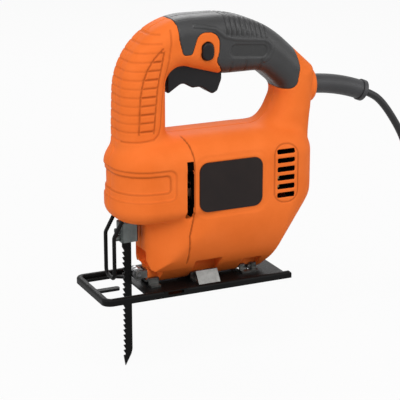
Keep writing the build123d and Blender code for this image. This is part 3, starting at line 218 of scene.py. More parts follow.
def seen_directly(nt):
    """1 for rays that show the background: from the camera, in reflections and through glass."""
    path = nt.nodes.new("ShaderNodeLightPath")
    first = nt.nodes.new("ShaderNodeMath")
    first.operation = "MAXIMUM"
    second = nt.nodes.new("ShaderNodeMath")
    second.operation = "MAXIMUM"
    nt.links.new(path.outputs["Is Camera Ray"], first.inputs[0])
    nt.links.new(path.outputs["Is Glossy Ray"], first.inputs[1])
    nt.links.new(first.outputs[0], second.inputs[0])
    nt.links.new(path.outputs["Is Transmission Ray"], second.inputs[1])
    return second.outputs[0]


def make_world():
    """Soft light from all round, and white where the background is seen."""
    world = bpy.data.worlds.new("studio")
    bpy.context.scene.world = world
    world.use_nodes = True
    nt = world.node_tree
    nt.nodes.clear()
    out = nt.nodes.new("ShaderNodeOutputWorld")
    mix = nt.nodes.new("ShaderNodeMixShader")
    soft = nt.nodes.new("ShaderNodeBackground")
    soft.inputs["Color"].default_value = (1, 1, 1, 1)
    soft.inputs["Strength"].default_value = SOFT_LIGHT
    shown = nt.nodes.new("ShaderNodeBackground")
    shown.inputs["Color"].default_value = (1, 1, 1, 1)
    shown.inputs["Strength"].default_value = WHITE_SHOWN
    nt.links.new(seen_directly(nt), mix.inputs["Fac"])
    nt.links.new(soft.outputs[0], mix.inputs[1])
    nt.links.new(shown.outputs[0], mix.inputs[2])
    nt.links.new(mix.outputs[0], out.inputs["Surface"])


def make_floor():
    """A pale floor that looks nearly white and keeps the object's shadow."""
    bm = bmesh.new()
    bmesh.ops.create_grid(bm, x_segments=2, y_segments=2, size=FLOOR_HALF)
    mesh = bpy.data.meshes.new("floor")
    bm.to_mesh(mesh)
    bm.free()
    floor = bpy.data.objects.new("floor", mesh)
    floor.location.z = FLOOR_LEVEL
    bpy.context.scene.collection.objects.link(floor)
    mat = bpy.data.materials.new("floor")
    mat.use_nodes = True
    nt = mat.node_tree
    nt.nodes.clear()
    out = nt.nodes.new("ShaderNodeOutputMaterial")
    mix = nt.nodes.new("ShaderNodeMixShader")
    matt = nt.nodes.new("ShaderNodeBsdfDiffuse")
    matt.inputs["Color"].default_value = (FLOOR_GREY, FLOOR_GREY, FLOOR_GREY, 1)
    glow = nt.nodes.new("ShaderNodeEmission")
    glow.inputs["Color"].default_value = (1, 1, 1, 1)
    part = nt.nodes.new("ShaderNodeMath")
    part.operation = "MULTIPLY"
    part.inputs[1].default_value = FLOOR_GLOW
    nt.links.new(seen_directly(nt), part.inputs[0])
    nt.links.new(part.outputs[0], mix.inputs["Fac"])
    nt.links.new(matt.outputs[0], mix.inputs[1])
    nt.links.new(glow.outputs[0], mix.inputs[2])
    nt.links.new(mix.outputs[0], out.inputs["Surface"])
    mesh.materials.append(mat)
    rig.stage(floor)


bpy.context.scene.view_settings.view_transform = "Standard"
make_camera()
make_world()
make_floor()
for lamp in LAMPS:
    area_light(*lamp)


# Cord

CORD_RADIUS = 3.0
CORD_LENGTH = 2.0
CORD_ROUTE = [(-158.06, 0, 134.59), (-166.4, 0, 131.22), (-174.5, 0, 125.6), (-184.1, 0, 114.1),
              (-196.1, 0, 95.6), (-206.0, -1, 72.5), (-212.5, -4, 48.0), (-217.5, -9, 23.5), (-223.5, -16, -0.5),
              (-234.0, -24.5, -20.5), (-248.5, -33, -34.0), (-265.0, -39.65, -39.1), (-283.0, -39.65, -39.1)]
COIL_TURNS, COIL_LAYERS, COIL_CROSSING = 1.75, 4, 0.5
COIL_MEAN, COIL_PITCH, COIL_RISE = 33.0, 7.6, 6.6
COIL_LOW = CORD_ROUTE[-1][2] - (COIL_LAYERS - 1) * COIL_RISE
COIL_TAIL = 26.0
POINTS_PER_TURN = 16
HEADING_STEP = 0.004
CORD_SIDES, CORD_STEPS = 5, 5


def coil_spot(turn):
    """Point on the put-away coil after so many turns, layer by layer from the top down."""
    swing = COIL_TURNS * COIL_PITCH / 2
    period = COIL_TURNS + COIL_CROSSING
    layer = min(int(turn / period), COIL_LAYERS - 1)
    local = turn - layer * period
    step = max(0.0, local - COIL_TURNS) / COIL_CROSSING
    side = 1 if layer % 2 == 0 else -1
    radius = COIL_MEAN + side * (swing - COIL_PITCH * min(local, COIL_TURNS))
    above = COIL_LAYERS - 1 - layer - (1 - math.cos(math.pi * step)) / 2
    angle = -math.pi / 2 - 2 * math.pi * turn
    middle_x, middle_y = CORD_ROUTE[-1][0], CORD_ROUTE[-1][1] + COIL_MEAN + swing
    return Vector((middle_x + radius * math.cos(angle), middle_y + radius * math.sin(angle),
                   COIL_LOW + COIL_RISE * above))


def make_cord():
    """One smooth lead from the strain relief down to its tied coil and on to the plug."""
    points = [Vector(place) for place in CORD_ROUTE]
    turns = COIL_LAYERS * COIL_TURNS + (COIL_LAYERS - 1) * COIL_CROSSING
    count = round(turns * POINTS_PER_TURN)
    points += [coil_spot(turns * i / count) for i in range(1, count + 1)]
    heading = (coil_spot(turns) - coil_spot(turns - HEADING_STEP)).normalized()
    points += [points[-1] + heading * COIL_TAIL * part for part in (0.5, 1)]
    data = bpy.data.curves.new("mains_lead", "CURVE")
    data.dimensions = "3D"
    data.bevel_depth = 1
    data.bevel_resolution = CORD_SIDES
    data.use_fill_caps = True
    line = data.splines.new("NURBS")
    line.points.add(len(points) - 1)
    for spot, place in zip(line.points, points):
        spot.co = (*(place * MM), 1)
        spot.radius = CORD_RADIUS * MM
    line.order_u = 3
    line.use_endpoint_u = True
    line.resolution_u = CORD_STEPS
    lead = bpy.data.objects.new("mains_lead", data)
    bpy.context.scene.collection.objects.link(lead)
    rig.ride(lead, "housing")
    for source in ("cord", "cord_coil"):
        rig.replaces(lead, source)
    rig.slot(lead, "cord_pvc")
    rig.cord(lead, exit=tuple(points[0] * MM), length=CORD_LENGTH, diameter=2 * CORD_RADIUS * MM,
            far_end="plug", stiffness="medium", lay="loose",
            with_pieces=[node[n] for n in ("plug_body", "plug_pins", "coil_tie")])
    return lead


lead = make_cord()


# Materials

# How dark the painted shade in grooves and lines goes, as a share of the darker colour
GROOVE_SHADE = 0.4
GRAIN_SHARE = 0.35
RAMP_FROM, RAMP_TO = 0.45, 0.9
GRAIN_FROM, GRAIN_TO = 0.3, 0.7
RELIEF_DISTANCE = 0.0004


def surface(name, low, high, rough=(0.4, 0.55), patch=45.0, grain=2200.0, bump=0.05, metallic=0.0,
            stretch=(1, 1, 1), specular=0.5):
    """A material whose colour drifts between two shades, with grain in its roughness and relief, and painted shade
    where the groove attribute marks grooves and lines.
    """
    mat = bpy.data.materials.new(name)
    mat.use_nodes = True
    nt = mat.node_tree
    shader = nt.nodes["Principled BSDF"]
    shader.inputs["Metallic"].default_value = metallic
    shader.inputs["Specular IOR Level"].default_value = specular
    where = nt.nodes.new("ShaderNodeTexCoord")
    spread = nt.nodes.new("ShaderNodeMapping")
    spread.inputs["Scale"].default_value = stretch
    nt.links.new(where.outputs["Object"], spread.inputs["Vector"])
    wide = nt.nodes.new("ShaderNodeTexNoise")
    wide.inputs["Scale"].default_value = patch
    wide.inputs["Detail"].default_value = 3
    fine = nt.nodes.new("ShaderNodeTexNoise")
    fine.inputs["Scale"].default_value = grain
    fine.inputs["Detail"].default_value = 2
    nt.links.new(where.outputs["Object"], wide.inputs["Vector"])
    nt.links.new(spread.outputs["Vector"], fine.inputs["Vector"])
    blend = nt.nodes.new("ShaderNodeMath")
    blend.operation = "MULTIPLY_ADD"
    blend.inputs[1].default_value = GRAIN_SHARE
    nt.links.new(fine.outputs["Fac"], blend.inputs[0])
    nt.links.new(wide.outputs["Fac"], blend.inputs[2])
    ramp = nt.nodes.new("ShaderNodeValToRGB")
    ramp.color_ramp.elements[0].position = RAMP_FROM
    ramp.color_ramp.elements[0].color = (*low, 1)
    ramp.color_ramp.elements[1].position = RAMP_TO
    ramp.color_ramp.elements[1].color = (*high, 1)
    nt.links.new(blend.outputs[0], ramp.inputs["Fac"])
    # Painted shade: the groove attribute darkens the base colour toward the darker colour times GROOVE_SHADE in carved
    # grooves, lines and recesses
    groove = nt.nodes.new("ShaderNodeAttribute")
    groove.attribute_name = "groove"
    shade = nt.nodes.new("ShaderNodeMix")
    shade.data_type = "RGBA"
    shade.inputs[7].default_value = (*[c * GROOVE_SHADE for c in low], 1)
    nt.links.new(groove.outputs["Fac"], shade.inputs[0])
    nt.links.new(ramp.outputs["Color"], shade.inputs[6])
    nt.links.new(shade.outputs[2], shader.inputs["Base Color"])
    gloss = nt.nodes.new("ShaderNodeMapRange")
    gloss.inputs["From Min"].default_value = GRAIN_FROM
    gloss.inputs["From Max"].default_value = GRAIN_TO
    gloss.inputs["To Min"].default_value = rough[0]
    gloss.inputs["To Max"].default_value = rough[1]
    nt.links.new(fine.outputs["Fac"], gloss.inputs["Value"])
    nt.links.new(gloss.outputs["Result"], shader.inputs["Roughness"])
    relief = nt.nodes.new("ShaderNodeBump")
    relief.inputs["Strength"].default_value = bump
    relief.inputs["Distance"].default_value = RELIEF_DISTANCE
    nt.links.new(fine.outputs["Fac"], relief.inputs["Height"])
    nt.links.new(relief.outputs["Normal"], shader.inputs["Normal"])
    return mat


ORANGE = surface("orange_plastic", (0.87, 0.172, 0.026), (0.94, 0.2, 0.036), (0.5, 0.64), specular=0.06)
RUBBER = surface("grip_rubber", (0.007, 0.007, 0.0075), (0.016, 0.016, 0.017), (0.36, 0.52),
                 grain=1500, bump=0.6, specular=0.55)
BLACK = surface("black_plastic", (0.006, 0.006, 0.007), (0.012, 0.012, 0.013), (0.35, 0.5),
                bump=0.1, specular=0.2)
PLATE = surface("dark_plate", (0.008, 0.005, 0.005), (0.015, 0.009, 0.008), (0.3, 0.42),
                bump=0.03, specular=0.2)
OXIDE = surface("black_steel", (0.002, 0.002, 0.002), (0.0045, 0.0045, 0.0045), (0.35, 0.55),
                grain=900, bump=0.1, specular=0.1)
ZINC = surface("zinc_steel", (0.15, 0.15, 0.145), (0.26, 0.26, 0.25), (0.3, 0.48),
               patch=160, grain=700, bump=0.08, metallic=1)
CLAMP = surface("clamp_steel", (0.09, 0.10, 0.098), (0.15, 0.165, 0.16), (0.35, 0.5),
                patch=120, grain=700, bump=0.1, metallic=0.9)
STEEL = surface("bright_steel", (0.30, 0.30, 0.31), (0.42, 0.42, 0.43), (0.22, 0.38),
                grain=900, bump=0.06, metallic=1, stretch=(0.15, 1, 1))
SHEETS = surface("lamination_steel", (0.30, 0.31, 0.33), (0.42, 0.43, 0.45), (0.35, 0.5),
                 grain=1500, bump=0.35, metallic=0.9, stretch=(1, 0.05, 0.05))
CAST = surface("die_cast", (0.50, 0.51, 0.52), (0.62, 0.63, 0.64), (0.4, 0.55),
               grain=700, bump=0.25, metallic=0.9)
COPPER = surface("copper_wire", (0.55, 0.20, 0.07), (0.72, 0.30, 0.12), (0.3, 0.45),
                 grain=1200, bump=0.6, metallic=0.8, stretch=(0.1, 1, 1))
BRONZE = surface("bronze", (0.42, 0.26, 0.10), (0.55, 0.36, 0.15), (0.35, 0.5),
                 grain=1200, bump=0.2, metallic=0.9)
CARBON = surface("carbon", (0.02, 0.02, 0.02), (0.05, 0.05, 0.05), (0.5, 0.7), grain=1500, bump=0.3)
WHITE = surface("white_plastic", (0.66, 0.66, 0.63), (0.78, 0.78, 0.75), (0.4, 0.55), bump=0.08)
CORD = surface("cord_pvc", (0.006, 0.006, 0.007), (0.013, 0.013, 0.014), (0.35, 0.5),
               grain=1400, bump=0.15, specular=0.35)
RELIEF = surface("relief_rubber", (0.016, 0.016, 0.018), (0.03, 0.03, 0.033), (0.45, 0.6),
                 grain=1400, bump=0.25)
# Near-black painted shade for slot walls and for parts seen deep inside the slots
PAINTED_SHADE = surface("slot_shade", (0.0012, 0.0006, 0.0006), (0.0022, 0.001, 0.001), (0.7, 0.85),
               bump=0.1, specular=0.03)

FINISH = {"orange_plastic": ORANGE, "grip_rubber": RUBBER, "black_plastic": BLACK, "dark_plate": PLATE,
          "black_steel": OXIDE, "zinc_steel": ZINC, "bright_steel": STEEL, "lamination_steel": SHEETS,
          "die_cast": CAST, "copper_wire": COPPER, "bronze": BRONZE, "carbon": CARBON, "white_plastic": WHITE,
          "cord_pvc": CORD}
# Own finishes for the strain relief and the clamp; the fan and the bearing plate are darkened as painted shade, as
# they sit in the dark behind the slots
OWN_FINISH_AND_PAINTED_SHADE = {"strain_relief": RELIEF, "blade_clamp": CLAMP, "clamp_screws": CLAMP, "fan": PAINTED_SHADE,
              "bearing_plate": OXIDE}
SLOT = {s["node"]: s["material_slot"] for s in frame["record"]["subparts"]}
lead.data.materials.append(CORD)
for name, obj in node.items():
    obj.data.materials.clear()
    obj.data.materials.append(OWN_FINISH_AND_PAINTED_SHADE.get(name, FINISH[SLOT[name]]))


# Mesh helpers

SAME_POINT = 1e-6
SMOOTH_IN, SMOOTH_OUT = 0.5, -0.53


def points_of(mesh):
    """All points of a mesh, one per row, in metres."""
    co = np.empty(len(mesh.vertices) * 3)
    mesh.vertices.foreach_get("co", co)
    return co.reshape(-1, 3)


def edges_of(mesh):
    """The two point numbers of every edge."""
    e = np.empty(len(mesh.edges) * 2, dtype=np.int64)
    mesh.edges.foreach_get("vertices", e)
    return e.reshape(-1, 2)


def normals_of(mesh):
    """The outward direction at every point."""
    n = np.empty(len(mesh.vertices) * 3)
    mesh.vertex_normals.foreach_get("vector", n)
    return n.reshape(-1, 3)


def put_points(mesh, co):
    """Writes the points back."""
    mesh.vertices.foreach_set("co", co.astype(np.float32).ravel())
    mesh.update()


def relax(co, edges, weight, rounds, factor=SMOOTH_IN):
    """Moves each point toward the middle of its neighbours, by its weight."""
    count = len(co)
    degree = np.maximum(np.bincount(edges.ravel(), minlength=count), 1)
    for _ in range(rounds):
        total = np.empty_like(co)
        for k in range(3):
            total[:, k] = (np.bincount(edges[:, 0], co[edges[:, 1], k], count)
                           + np.bincount(edges[:, 1], co[edges[:, 0], k], count))
        co = co + (factor * weight)[:, None] * (total / degree[:, None] - co)
    return co


def even_out(co, edges, rounds):
    """Takes the steps of the voxels off without shrinking the form."""
    whole = np.ones(len(co))
    for _ in range(rounds):
        co = relax(co, edges, whole, 1, SMOOTH_IN)
        co = relax(co, edges, whole, 1, SMOOTH_OUT)
    return co


def press(mesh, co, n, depth, side):
    """Moves points in along their normals, by millimetres, and keeps them on their own side of the split."""
    co = co - n * (depth * MM)[:, None]
    co[:, 1] = np.maximum(co[:, 1] * side, 0) * side
    put_points(mesh, co)


def dense(name, source, voxel):
    """A fine, even mesh of a CAD node, to carve moulded detail into."""
    bm = bmesh.new()
    bm.from_mesh(node[source].data)
    bmesh.ops.remove_doubles(bm, verts=bm.verts, dist=SAME_POINT)
    mesh = bpy.data.meshes.new(name)
    bm.to_mesh(mesh)
    bm.free()
    obj = bpy.data.objects.new(name, mesh)
    bpy.context.scene.collection.objects.link(obj)
    remesh = obj.modifiers.new("remesh", "REMESH")
    remesh.mode = "VOXEL"
    remesh.voxel_size = voxel * MM
    fine = bpy.data.meshes.new_from_object(obj.evaluated_get(bpy.context.evaluated_depsgraph_get()))
    obj.modifiers.clear()
    obj.data = fine
    fine.name = name
    fine.materials.clear()
    fine.materials.append(FINISH[SLOT[source]])
    fine.shade_smooth()
    return obj


def stand_in(obj, source):
    """obj is shown in place of a CAD node and moves with that node's body."""
    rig.ride(obj, node[source]["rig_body"])
    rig.replaces(obj, source)
    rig.slot(obj, SLOT[source])


def pulse(distance, half, soft):
    """1 within half of the middle, falling smoothly to 0 over soft."""
    t = np.clip((np.abs(distance) - half) / soft, 0, 1)
    return 1 - t * t * (3 - 2 * t)


def ramp_up(value, start, end):
    """0 up to start, rising smoothly to 1 at end."""
    t = np.clip((value - start) / (end - start), 0, 1)
    return t * t * (3 - 2 * t)


def to_line(u, v, corners):
    """Distance from points to a broken line in the same plane."""
    best = np.full(len(u), np.inf)
    for (a, b), (c, d) in zip(corners, corners[1:]):
        length = (c - a) ** 2 + (d - b) ** 2
        t = np.clip(((u - a) * (c - a) + (v - b) * (d - b)) / length, 0, 1)
        best = np.minimum(best, np.hypot(u - a - t * (c - a), v - b - t * (d - b)))
    return best


def mark_grooves(mesh, amount):
    """Keeps how much painted shade each point gets in grooves and lines, which darkens its material's colour."""
    groove = mesh.attributes.new("groove", "FLOAT", "POINT")
    groove.data.foreach_set("value", np.clip(amount, 0, 1).astype(np.float32))


def in_box(u, v, low, high, radius):
    """Distance outside a rounded box, negative inside."""
    middle = ((low[0] + high[0]) / 2, (low[1] + high[1]) / 2)
    du = np.abs(u - middle[0]) - (high[0] - low[0]) / 2 + radius
    dv = np.abs(v - middle[1]) - (high[1] - low[1]) / 2 + radius
    return np.hypot(np.maximum(du, 0), np.maximum(dv, 0)) + np.minimum(np.maximum(du, dv), 0) - radius


# Housing halves with their moulded detail and the painted shade of their grooves, in millimetres

HOUSING_VOXEL, HOUSING_EVEN = 0.75, 3
BLEND_ROUNDS = 90
OUTWARD = (0.05, 0.3)
SPLIT_KEPT = 0.6
# Handle feet: middle along the saw, half length, half length of what is left sharp inside
FRONT_FOOT, REAR_FOOT = (33.5, 19, 13), (-84, 24, 12)
FOOT_HALF, FOOT_CORE_HALF = 21, 12
FOOT_NEAR, FOOT_RISE = (2, 7), (5, 8)
FOOT_STEP, NOSE_TOP, BODY_TOP = 40, 114, 117
# Snout and tail, blended: middle, half, soft edge
SNOUT_X, SNOUT_Z, SNOUT_Y = (6, 22, 8), (43, 15, 6), (12, 18)
TAIL_Z, TAIL_BEHIND = (64.0, 2, 6), -84
# Room round the plunger and above it
PLUNGER_SIDE, PLUNGER_ABOVE, PLUNGER_ROOM = 2, 11, 0.5
# Front column: straight lean up to the crown, then an arc
COLUMN_FOOT, COLUMN_FRONT, COLUMN_LEAN, COLUMN_HEIGHT = 119, 52.5, 3, 88
CROWN_X, CROWN_Z, CROWN_RADIUS = -4.9, 151, 56
FRONT_SKIN, FRONT_HALF, FLANK_FROM = 3, 8, 9
CROWN_FACING, CROWN_OUTWARD = 0.6, (0.1, 0.4)
RUNG_FIRST, RUNG_PITCH, RUNG_COUNT = 126.0, 6.38, 12
RUNG_WIDTH = (0.3, 0.7)
# Rib and ladder grooves: heights, start, depth and the strength of their painted shade
RIB_LOW, RIB_HIGH, RIB_FROM, RIB_DEPTH, RIB_SHADE = 122, 199, 14, 0.4, 0.25
LADDER_LOW, LADDER_HIGH, LADDER_DEPTH, LADDER_SHADE = 123, 184, 1.0, 0.65
RIB_START, LADDER_START, LADDER_STOP = (-0.3, 0.8), (0.5, 1.5), (0.3, 1.2)
LADDER_FRONT = [(41.2, 124.5), (40.4, 140.8), (39.6, 152.4), (37.2, 163.7), (33.9, 171.8), (28.6, 179.4),
                (21.5, 186)]
LADDER_REAR = [(29.3, 124.5), (27.7, 141.9), (26.0, 156.3), (23.5, 169.7), (20.8, 183.5)]
PANEL_EDGE = [(14.6, 199), (15.2, 188.3), (18.1, 168.8), (21.8, 145.9), (23.4, 129.4), (25.2, 123.0),
              (29.5, 119.4), (40.6, 118.4), (60, 118.4)]
# Lines of the column: route, depth, painted shade
COLUMN_LINES = ((LADDER_FRONT, 0.8, 0.65), (LADDER_REAR, 0.8, 0.65), (PANEL_EDGE, 0.6, 0.4))
COLUMN_LINE_WIDTH, COLUMN_LINE_FROM = (0.3, 0.7), 10
FOOT_LINE_Z, FOOT_LINE_WIDTH, FOOT_LINE_DEPTH, FOOT_LINE_FROM = 118.4, (0.4, 0.8), 0.6, 40
# Seam of the gear case, cut and darkened with painted shade
SEAM = [(14.0, 128.5), (11.0, 126.4), (7.1, 121.0), (3.9, 114.1), (2.6, 106.0), (2.6, 57.5), (4.0, 50.5),
        (5.2, 44.6), (3.4, 20.0)]
SEAM_WIDTH, SEAM_DEPTH, SEAM_SHADE = (0.25, 0.6), 0.6, 0.9
# Rounded boxes: low corner, high corner, corner radius
VENT_FRAME = ((-84.0, 62.6), (-63.6, 107.8), 9.0)
# Groove round the vents: width, depth and strength of its painted shade
VENT_FRAME_WIDTH, VENT_FRAME_DEPTH, VENT_FRAME_SHADE = (0.3, 0.6), 0.5, 0.55
# Nose bands: rounded box and strength of the painted shade drawn along its edge, with no cut
NOSE_BANDS = ((((17.0, 74.8), (90, 98.2), 5.0), 0.28), (((21.3, 80.9), (90, 94.3), 3.0), 0.5))
NOSE_BAND_WIDTH, NOSE_FROM = (0.35, 0.7), 12
PANEL = ((-57.7, 58.5), (1.6, 105.5), 9.0)
PANEL_DEPTH, PANEL_SOFT, PANEL_SIDE = 0.45, 1.2, 26
# Air slots
OUTLET_X, OUTLET_Z = (3.0, 8.6), (59.4, 96.7)
OUTLET_END_X, OUTLET_END_Z, OUTLET_END_DEPTH = (3.4, 8.4), (94.5, 103.0), 1.8
VENT_X, VENT_Z = (-81.6, -65.4), (64.0, 106.6)
SLOT_SIDE = 17.5
FACING_OUT = 0.5


def between(value, limits):
    """Whether values lie inside a range."""
    return (value > limits[0]) & (value < limits[1])


def at_level(line, z):
    """How far forward a line is at a height."""
    ordered = sorted(line, key=lambda p: p[1])
    return np.interp(z, [p[1] for p in ordered], [p[0] for p in ordered])


def foot_weight(x, y, z):
    """Where the handle's feet stand on the body, to be blended."""
    apart = [np.maximum(np.abs(x - middle) - half, 0) + np.maximum(np.abs(y) - FOOT_HALF, 0)
             for middle, half, _ in (FRONT_FOOT, REAR_FOOT)]
    inside = (np.abs(x - FRONT_FOOT[0]) < FRONT_FOOT[2]) | (np.abs(x - REAR_FOOT[0]) < REAR_FOOT[2])
    level = np.where(x > FOOT_STEP, NOSE_TOP, BODY_TOP)
    weight = pulse(np.minimum(*apart), *FOOT_NEAR) * pulse(z - level, *FOOT_RISE)
    return np.where(inside & (np.abs(y) < FOOT_CORE_HALF), 0, weight)


def blend_weight(x, y, z, outer):
    """Where the housing's forms run into each other: feet, tail and snout."""
    tail = pulse(z - TAIL_Z[0], *TAIL_Z[1:]) * (x < TAIL_BEHIND)
    snout = pulse(x - SNOUT_X[0], *SNOUT_X[1:]) * pulse(z - SNOUT_Z[0], *SNOUT_Z[1:])
    snout = snout * ramp_up(np.abs(y), *SNOUT_Y) * outer
    return np.maximum(np.maximum(foot_weight(x, y, z), tail) * (np.abs(y) >= SPLIT_KEPT), snout)


def plunger_bay(x, y, z, outer):
    """Inner walls that the plunger passes, which keep their room."""
    low, high = (np.array(corner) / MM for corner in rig.box("plunger"))
    along = between(x, (low[0] - PLUNGER_SIDE, high[0] + PLUNGER_SIDE))
    across = np.abs(y) < high[1] + PLUNGER_SIDE
    return along & across & (z < high[2] + PLUNGER_ABOVE) & (outer < FACING_OUT)


def column_relief(x, y, z, n, outer):
    """Depth of the ribs and the ladder on the front column, and the painted shade in their grooves."""
    straight = COLUMN_FRONT - COLUMN_LEAN * (z - COLUMN_FOOT) / COLUMN_HEIGHT - x
    under = np.where(z < CROWN_Z, straight, CROWN_RADIUS - np.hypot(x - CROWN_X, z - CROWN_Z))
    crown = ramp_up(n[:, 0] + CROWN_FACING * n[:, 2], *CROWN_OUTWARD) * (under < FRONT_SKIN)
    skin = np.where(np.abs(y) > FRONT_HALF, outer, crown)
    rung = np.zeros(len(x))
    for i in range(RUNG_COUNT):
        rung = np.maximum(rung, pulse(z - RUNG_FIRST - RUNG_PITCH * i, *RUNG_WIDTH))
    front, rear = at_level(LADDER_FRONT, z), at_level(LADDER_REAR, z)
    ribs = ramp_up(x - front, *RIB_START) * between(z, (RIB_LOW, RIB_HIGH)) * (x > RIB_FROM)
    ladder = ramp_up(front - x, *LADDER_START) * ramp_up(x - rear, *LADDER_STOP)
    ladder = ladder * between(z, (LADDER_LOW, LADDER_HIGH))
    depth = skin * rung * (RIB_DEPTH * ribs + LADDER_DEPTH * ladder)
    shade = skin * rung * (RIB_SHADE * ribs + LADDER_SHADE * ladder)
    for route, deep, dark in COLUMN_LINES:
        near = pulse(to_line(x, z, route), *COLUMN_LINE_WIDTH) * (x > COLUMN_LINE_FROM)
        near = outer * (np.abs(y) > FLANK_FROM) * near
        depth += deep * near
        shade = np.maximum(shade, dark * near)
    foot = pulse(z - FOOT_LINE_Z, *FOOT_LINE_WIDTH) * (x > FOOT_LINE_FROM) * (under < FRONT_SKIN)
    depth += FOOT_LINE_DEPTH * skin * foot * (np.abs(y) <= FLANK_FROM)
    return depth, shade


def body_relief(x, y, z, n, outer, side):
    """Depth of the seam, the vents' frame, the panel and the outlet's end, and the painted shade of the seam, the
    vents' frame and the nose's bands.
    """
    seam = outer * pulse(to_line(x, z, SEAM), *SEAM_WIDTH) * (np.abs(y) > FLANK_FROM)
    rim = outer * pulse(in_box(x, z, *VENT_FRAME), *VENT_FRAME_WIDTH)
    depth = SEAM_DEPTH * seam + VENT_FRAME_DEPTH * rim
    shade = np.maximum(SEAM_SHADE * seam, VENT_FRAME_SHADE * rim)
    on_nose = ramp_up(np.maximum(n[:, 1] * side, n[:, 0]), *OUTWARD) * (x > NOSE_FROM)
    for box, dark in NOSE_BANDS:
        shade = np.maximum(shade, dark * on_nose * pulse(in_box(x, z, *box), *NOSE_BAND_WIDTH))
    panel = ramp_up(-in_box(x, z, *PANEL), -PANEL_SOFT, PANEL_SOFT) * (np.abs(y) > PANEL_SIDE)
    depth += PANEL_DEPTH * outer * panel + OUTLET_END_DEPTH * outer * in_outlet_end(x, y, z)
    return depth, shade


def in_outlet_end(x, y, z):
    """Upper end of the outlet, a shallow pocket above the open slot."""
    return between(x, OUTLET_END_X) & between(z, OUTLET_END_Z) & (np.abs(y) > SLOT_SIDE)


def carve_housing(obj, side):
    """Blends the forms of a housing half, cuts its fine lines and marks their painted shade."""
    mesh = obj.data
    edges = edges_of(mesh)
    co = even_out(points_of(mesh), edges, HOUSING_EVEN)
    put_points(mesh, co)
    outer = ramp_up(normals_of(mesh)[:, 1] * side, *OUTWARD)
    x, y, z = (co / MM).T
    bay = plunger_bay(x, y, z, outer)
    co = relax(co, edges, np.where(bay, 0, blend_weight(x, y, z, outer)), BLEND_ROUNDS)
    put_points(mesh, co)
    n = normals_of(mesh)
    x, y, z = (co / MM).T
    column_depth, column_shade = column_relief(x, y, z, n, outer)
    body_depth, body_shade = body_relief(x, y, z, n, outer, side)
    press(mesh, co, n, column_depth + body_depth + PLUNGER_ROOM * bay, side)
    mark_grooves(mesh, np.maximum(column_shade, body_shade))


def shade_slots(mesh, side):
    """The walls inside the air slots and the outlet's upper end take a near-black material, as painted shade where
    they lie in the dark.
    """
    mesh.materials.append(PAINTED_SHADE)
    for face in mesh.polygons:
        x, y, z = (c / MM for c in face.center)
        wall = face.normal.y * side < FACING_OUT
        outlet = between(x, OUTLET_X) & between(z, OUTLET_Z)
        vents = between(x, VENT_X) & between(z, VENT_Z)
        if wall and (outlet or vents) or in_outlet_end(x, y, z):
            face.material_index = 1


for label, source, side in (("housing_left", "left_housing", 1), ("housing_right", "right_housing", -1)):
    shell = dense(label, source, HOUSING_VOXEL)
    carve_housing(shell, side)
    shade_slots(shell.data, side)
    stand_in(shell, source)


# Soft grip, trigger and button, in millimetres

GRIP_VOXEL, GRIP_EVEN = 0.6, 2
TRIGGER_VOXEL, TRIGGER_ROUNDS = 0.5, 4
BUTTON_VOXEL, BUTTON_ROUNDS = 0.35, 3
GRIP_OUTWARD, GRIP_FLAT = (0.1, 0.4), (0.35, 0.65)
# Grip cuts; each *_SHADE value is the strength of the painted shade in that cut or along that line
GRIP_RIB_FIRST, GRIP_RIB_PITCH, GRIP_RIB_COUNT = -30.0, 4.1, 9
GRIP_RIB_WIDTH, GRIP_RIB_END, GRIP_RIB_DEPTH, GRIP_RIB_SHADE = (0.4, 0.7), (0.5, 2.0), 0.9, 0.8
GRIP_RIB_X, GRIP_RIB_Z = (-63, -28), (186.8, 190.5)
SWOOSH = [(-4, 200.5), (-12, 199.5), (-20.5, 197.6), (-27.5, 191.5), (-36.2, 188.9), (-48.6, 187.4),
          (-61, 186.4), (-65.4, 183.6), (-67, 178.6), (-65, 173.7), (-61, 170.4)]
SWOOSH_SIDE, SWOOSH_WIDTH, SWOOSH_RISE = 5, (0.5, 1.1), 0.6
SWOOSH_EDGE, SWOOSH_EDGE_WIDTH, SWOOSH_SHADE = 1.5, (0.2, 0.6), 0.6
SLOT_MIDDLE, SLOT_HALF, SLOT_TILT, SLOT_CORNER = (-47.9, 179.0), (15.4, 5.0), 0.08, 4.4
SLOT_WALL, SLOT_DEPTH = (-0.4, 0.6), 0.9
SLOT_SHADE_WALL, SLOT_SHADE = (-0.3, 0.5), 0.75
FINGER_LINES = (-34.1, -46.1, -58.6)
FINGER_WIDTH, FINGER_Z, FINGER_DEPTH, FINGER_SHADE = (0.5, 0.9), (167, 4, 2), 0.5, 0.7


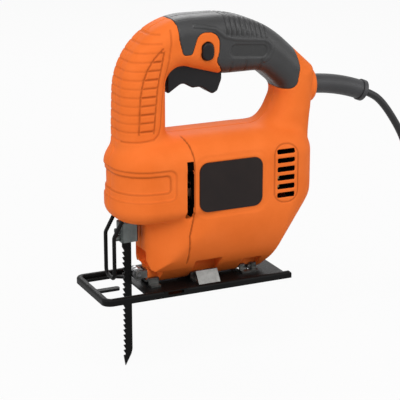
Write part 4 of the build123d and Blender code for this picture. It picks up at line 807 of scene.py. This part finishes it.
def carve_grip(obj, side):
    """Cuts the ribs, the slot and the finger lines of a grip half, raises its long line, and marks painted shade in
    the cuts and along the long line's edge.
    """
    mesh = obj.data
    co = even_out(points_of(mesh), edges_of(mesh), GRIP_EVEN)
    put_points(mesh, co)
    n = normals_of(mesh)
    x, y, z = (co / MM).T
    over = ramp_up(np.maximum(n[:, 1] * side, n[:, 2]), *GRIP_OUTWARD)
    flat = ramp_up(n[:, 1] * side, *GRIP_FLAT)
    depth = np.zeros(len(co))
    shade = np.zeros(len(co))
    above = z - np.interp(x, GRIP_RIB_X, GRIP_RIB_Z)
    for i in range(GRIP_RIB_COUNT):
        rib = pulse(x - GRIP_RIB_FIRST + GRIP_RIB_PITCH * i, *GRIP_RIB_WIDTH)
        rib = over * rib * ramp_up(above, *GRIP_RIB_END)
        depth += GRIP_RIB_DEPTH * rib
        shade = np.maximum(shade, GRIP_RIB_SHADE * rib)
    away = to_line(x, z, SWOOSH)
    beside = over * (np.abs(y) > SWOOSH_SIDE)
    depth -= SWOOSH_RISE * beside * pulse(away, *SWOOSH_WIDTH)
    shade = np.maximum(shade, SWOOSH_SHADE * beside * pulse(away - SWOOSH_EDGE, *SWOOSH_EDGE_WIDTH))
    u, v = x - SLOT_MIDDLE[0], z - SLOT_MIDDLE[1]
    low = (-SLOT_HALF[0], -SLOT_HALF[1])
    slot = in_box(u + SLOT_TILT * v, v - SLOT_TILT * u, low, SLOT_HALF, SLOT_CORNER)
    depth += SLOT_DEPTH * flat * ramp_up(-slot, *SLOT_WALL)
    shade = np.maximum(shade, SLOT_SHADE * flat * ramp_up(-slot, *SLOT_SHADE_WALL))
    for middle in FINGER_LINES:
        groove = flat * pulse(x - middle, *FINGER_WIDTH) * pulse(z - FINGER_Z[0], *FINGER_Z[1:])
        depth += FINGER_DEPTH * groove
        shade = np.maximum(shade, FINGER_SHADE * groove)
    press(mesh, co, n, depth, side)
    mark_grooves(mesh, shade)


for label, source, side in (("grip_left", "left_grip", 1), ("grip_right", "right_grip", -1)):
    skin = dense(label, source, GRIP_VOXEL)
    carve_grip(skin, side)
    stand_in(skin, source)


def softened(label, source, voxel, rounds):
    """A CAD node with its moulded edges rounded over."""
    obj = dense(label, source, voxel)
    co = points_of(obj.data)
    put_points(obj.data, relax(co, edges_of(obj.data), np.ones(len(co)), rounds))
    stand_in(obj, source)


softened("trigger_blade", "trigger", TRIGGER_VOXEL, TRIGGER_ROUNDS)
softened("button_cap", "lock_button", BUTTON_VOXEL, BUTTON_ROUNDS)

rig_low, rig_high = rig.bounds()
json.dump({"cad": [list(cad_low), list(cad_high)], "visual": [list(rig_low), list(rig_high)]},
          open("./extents.json", "w"))
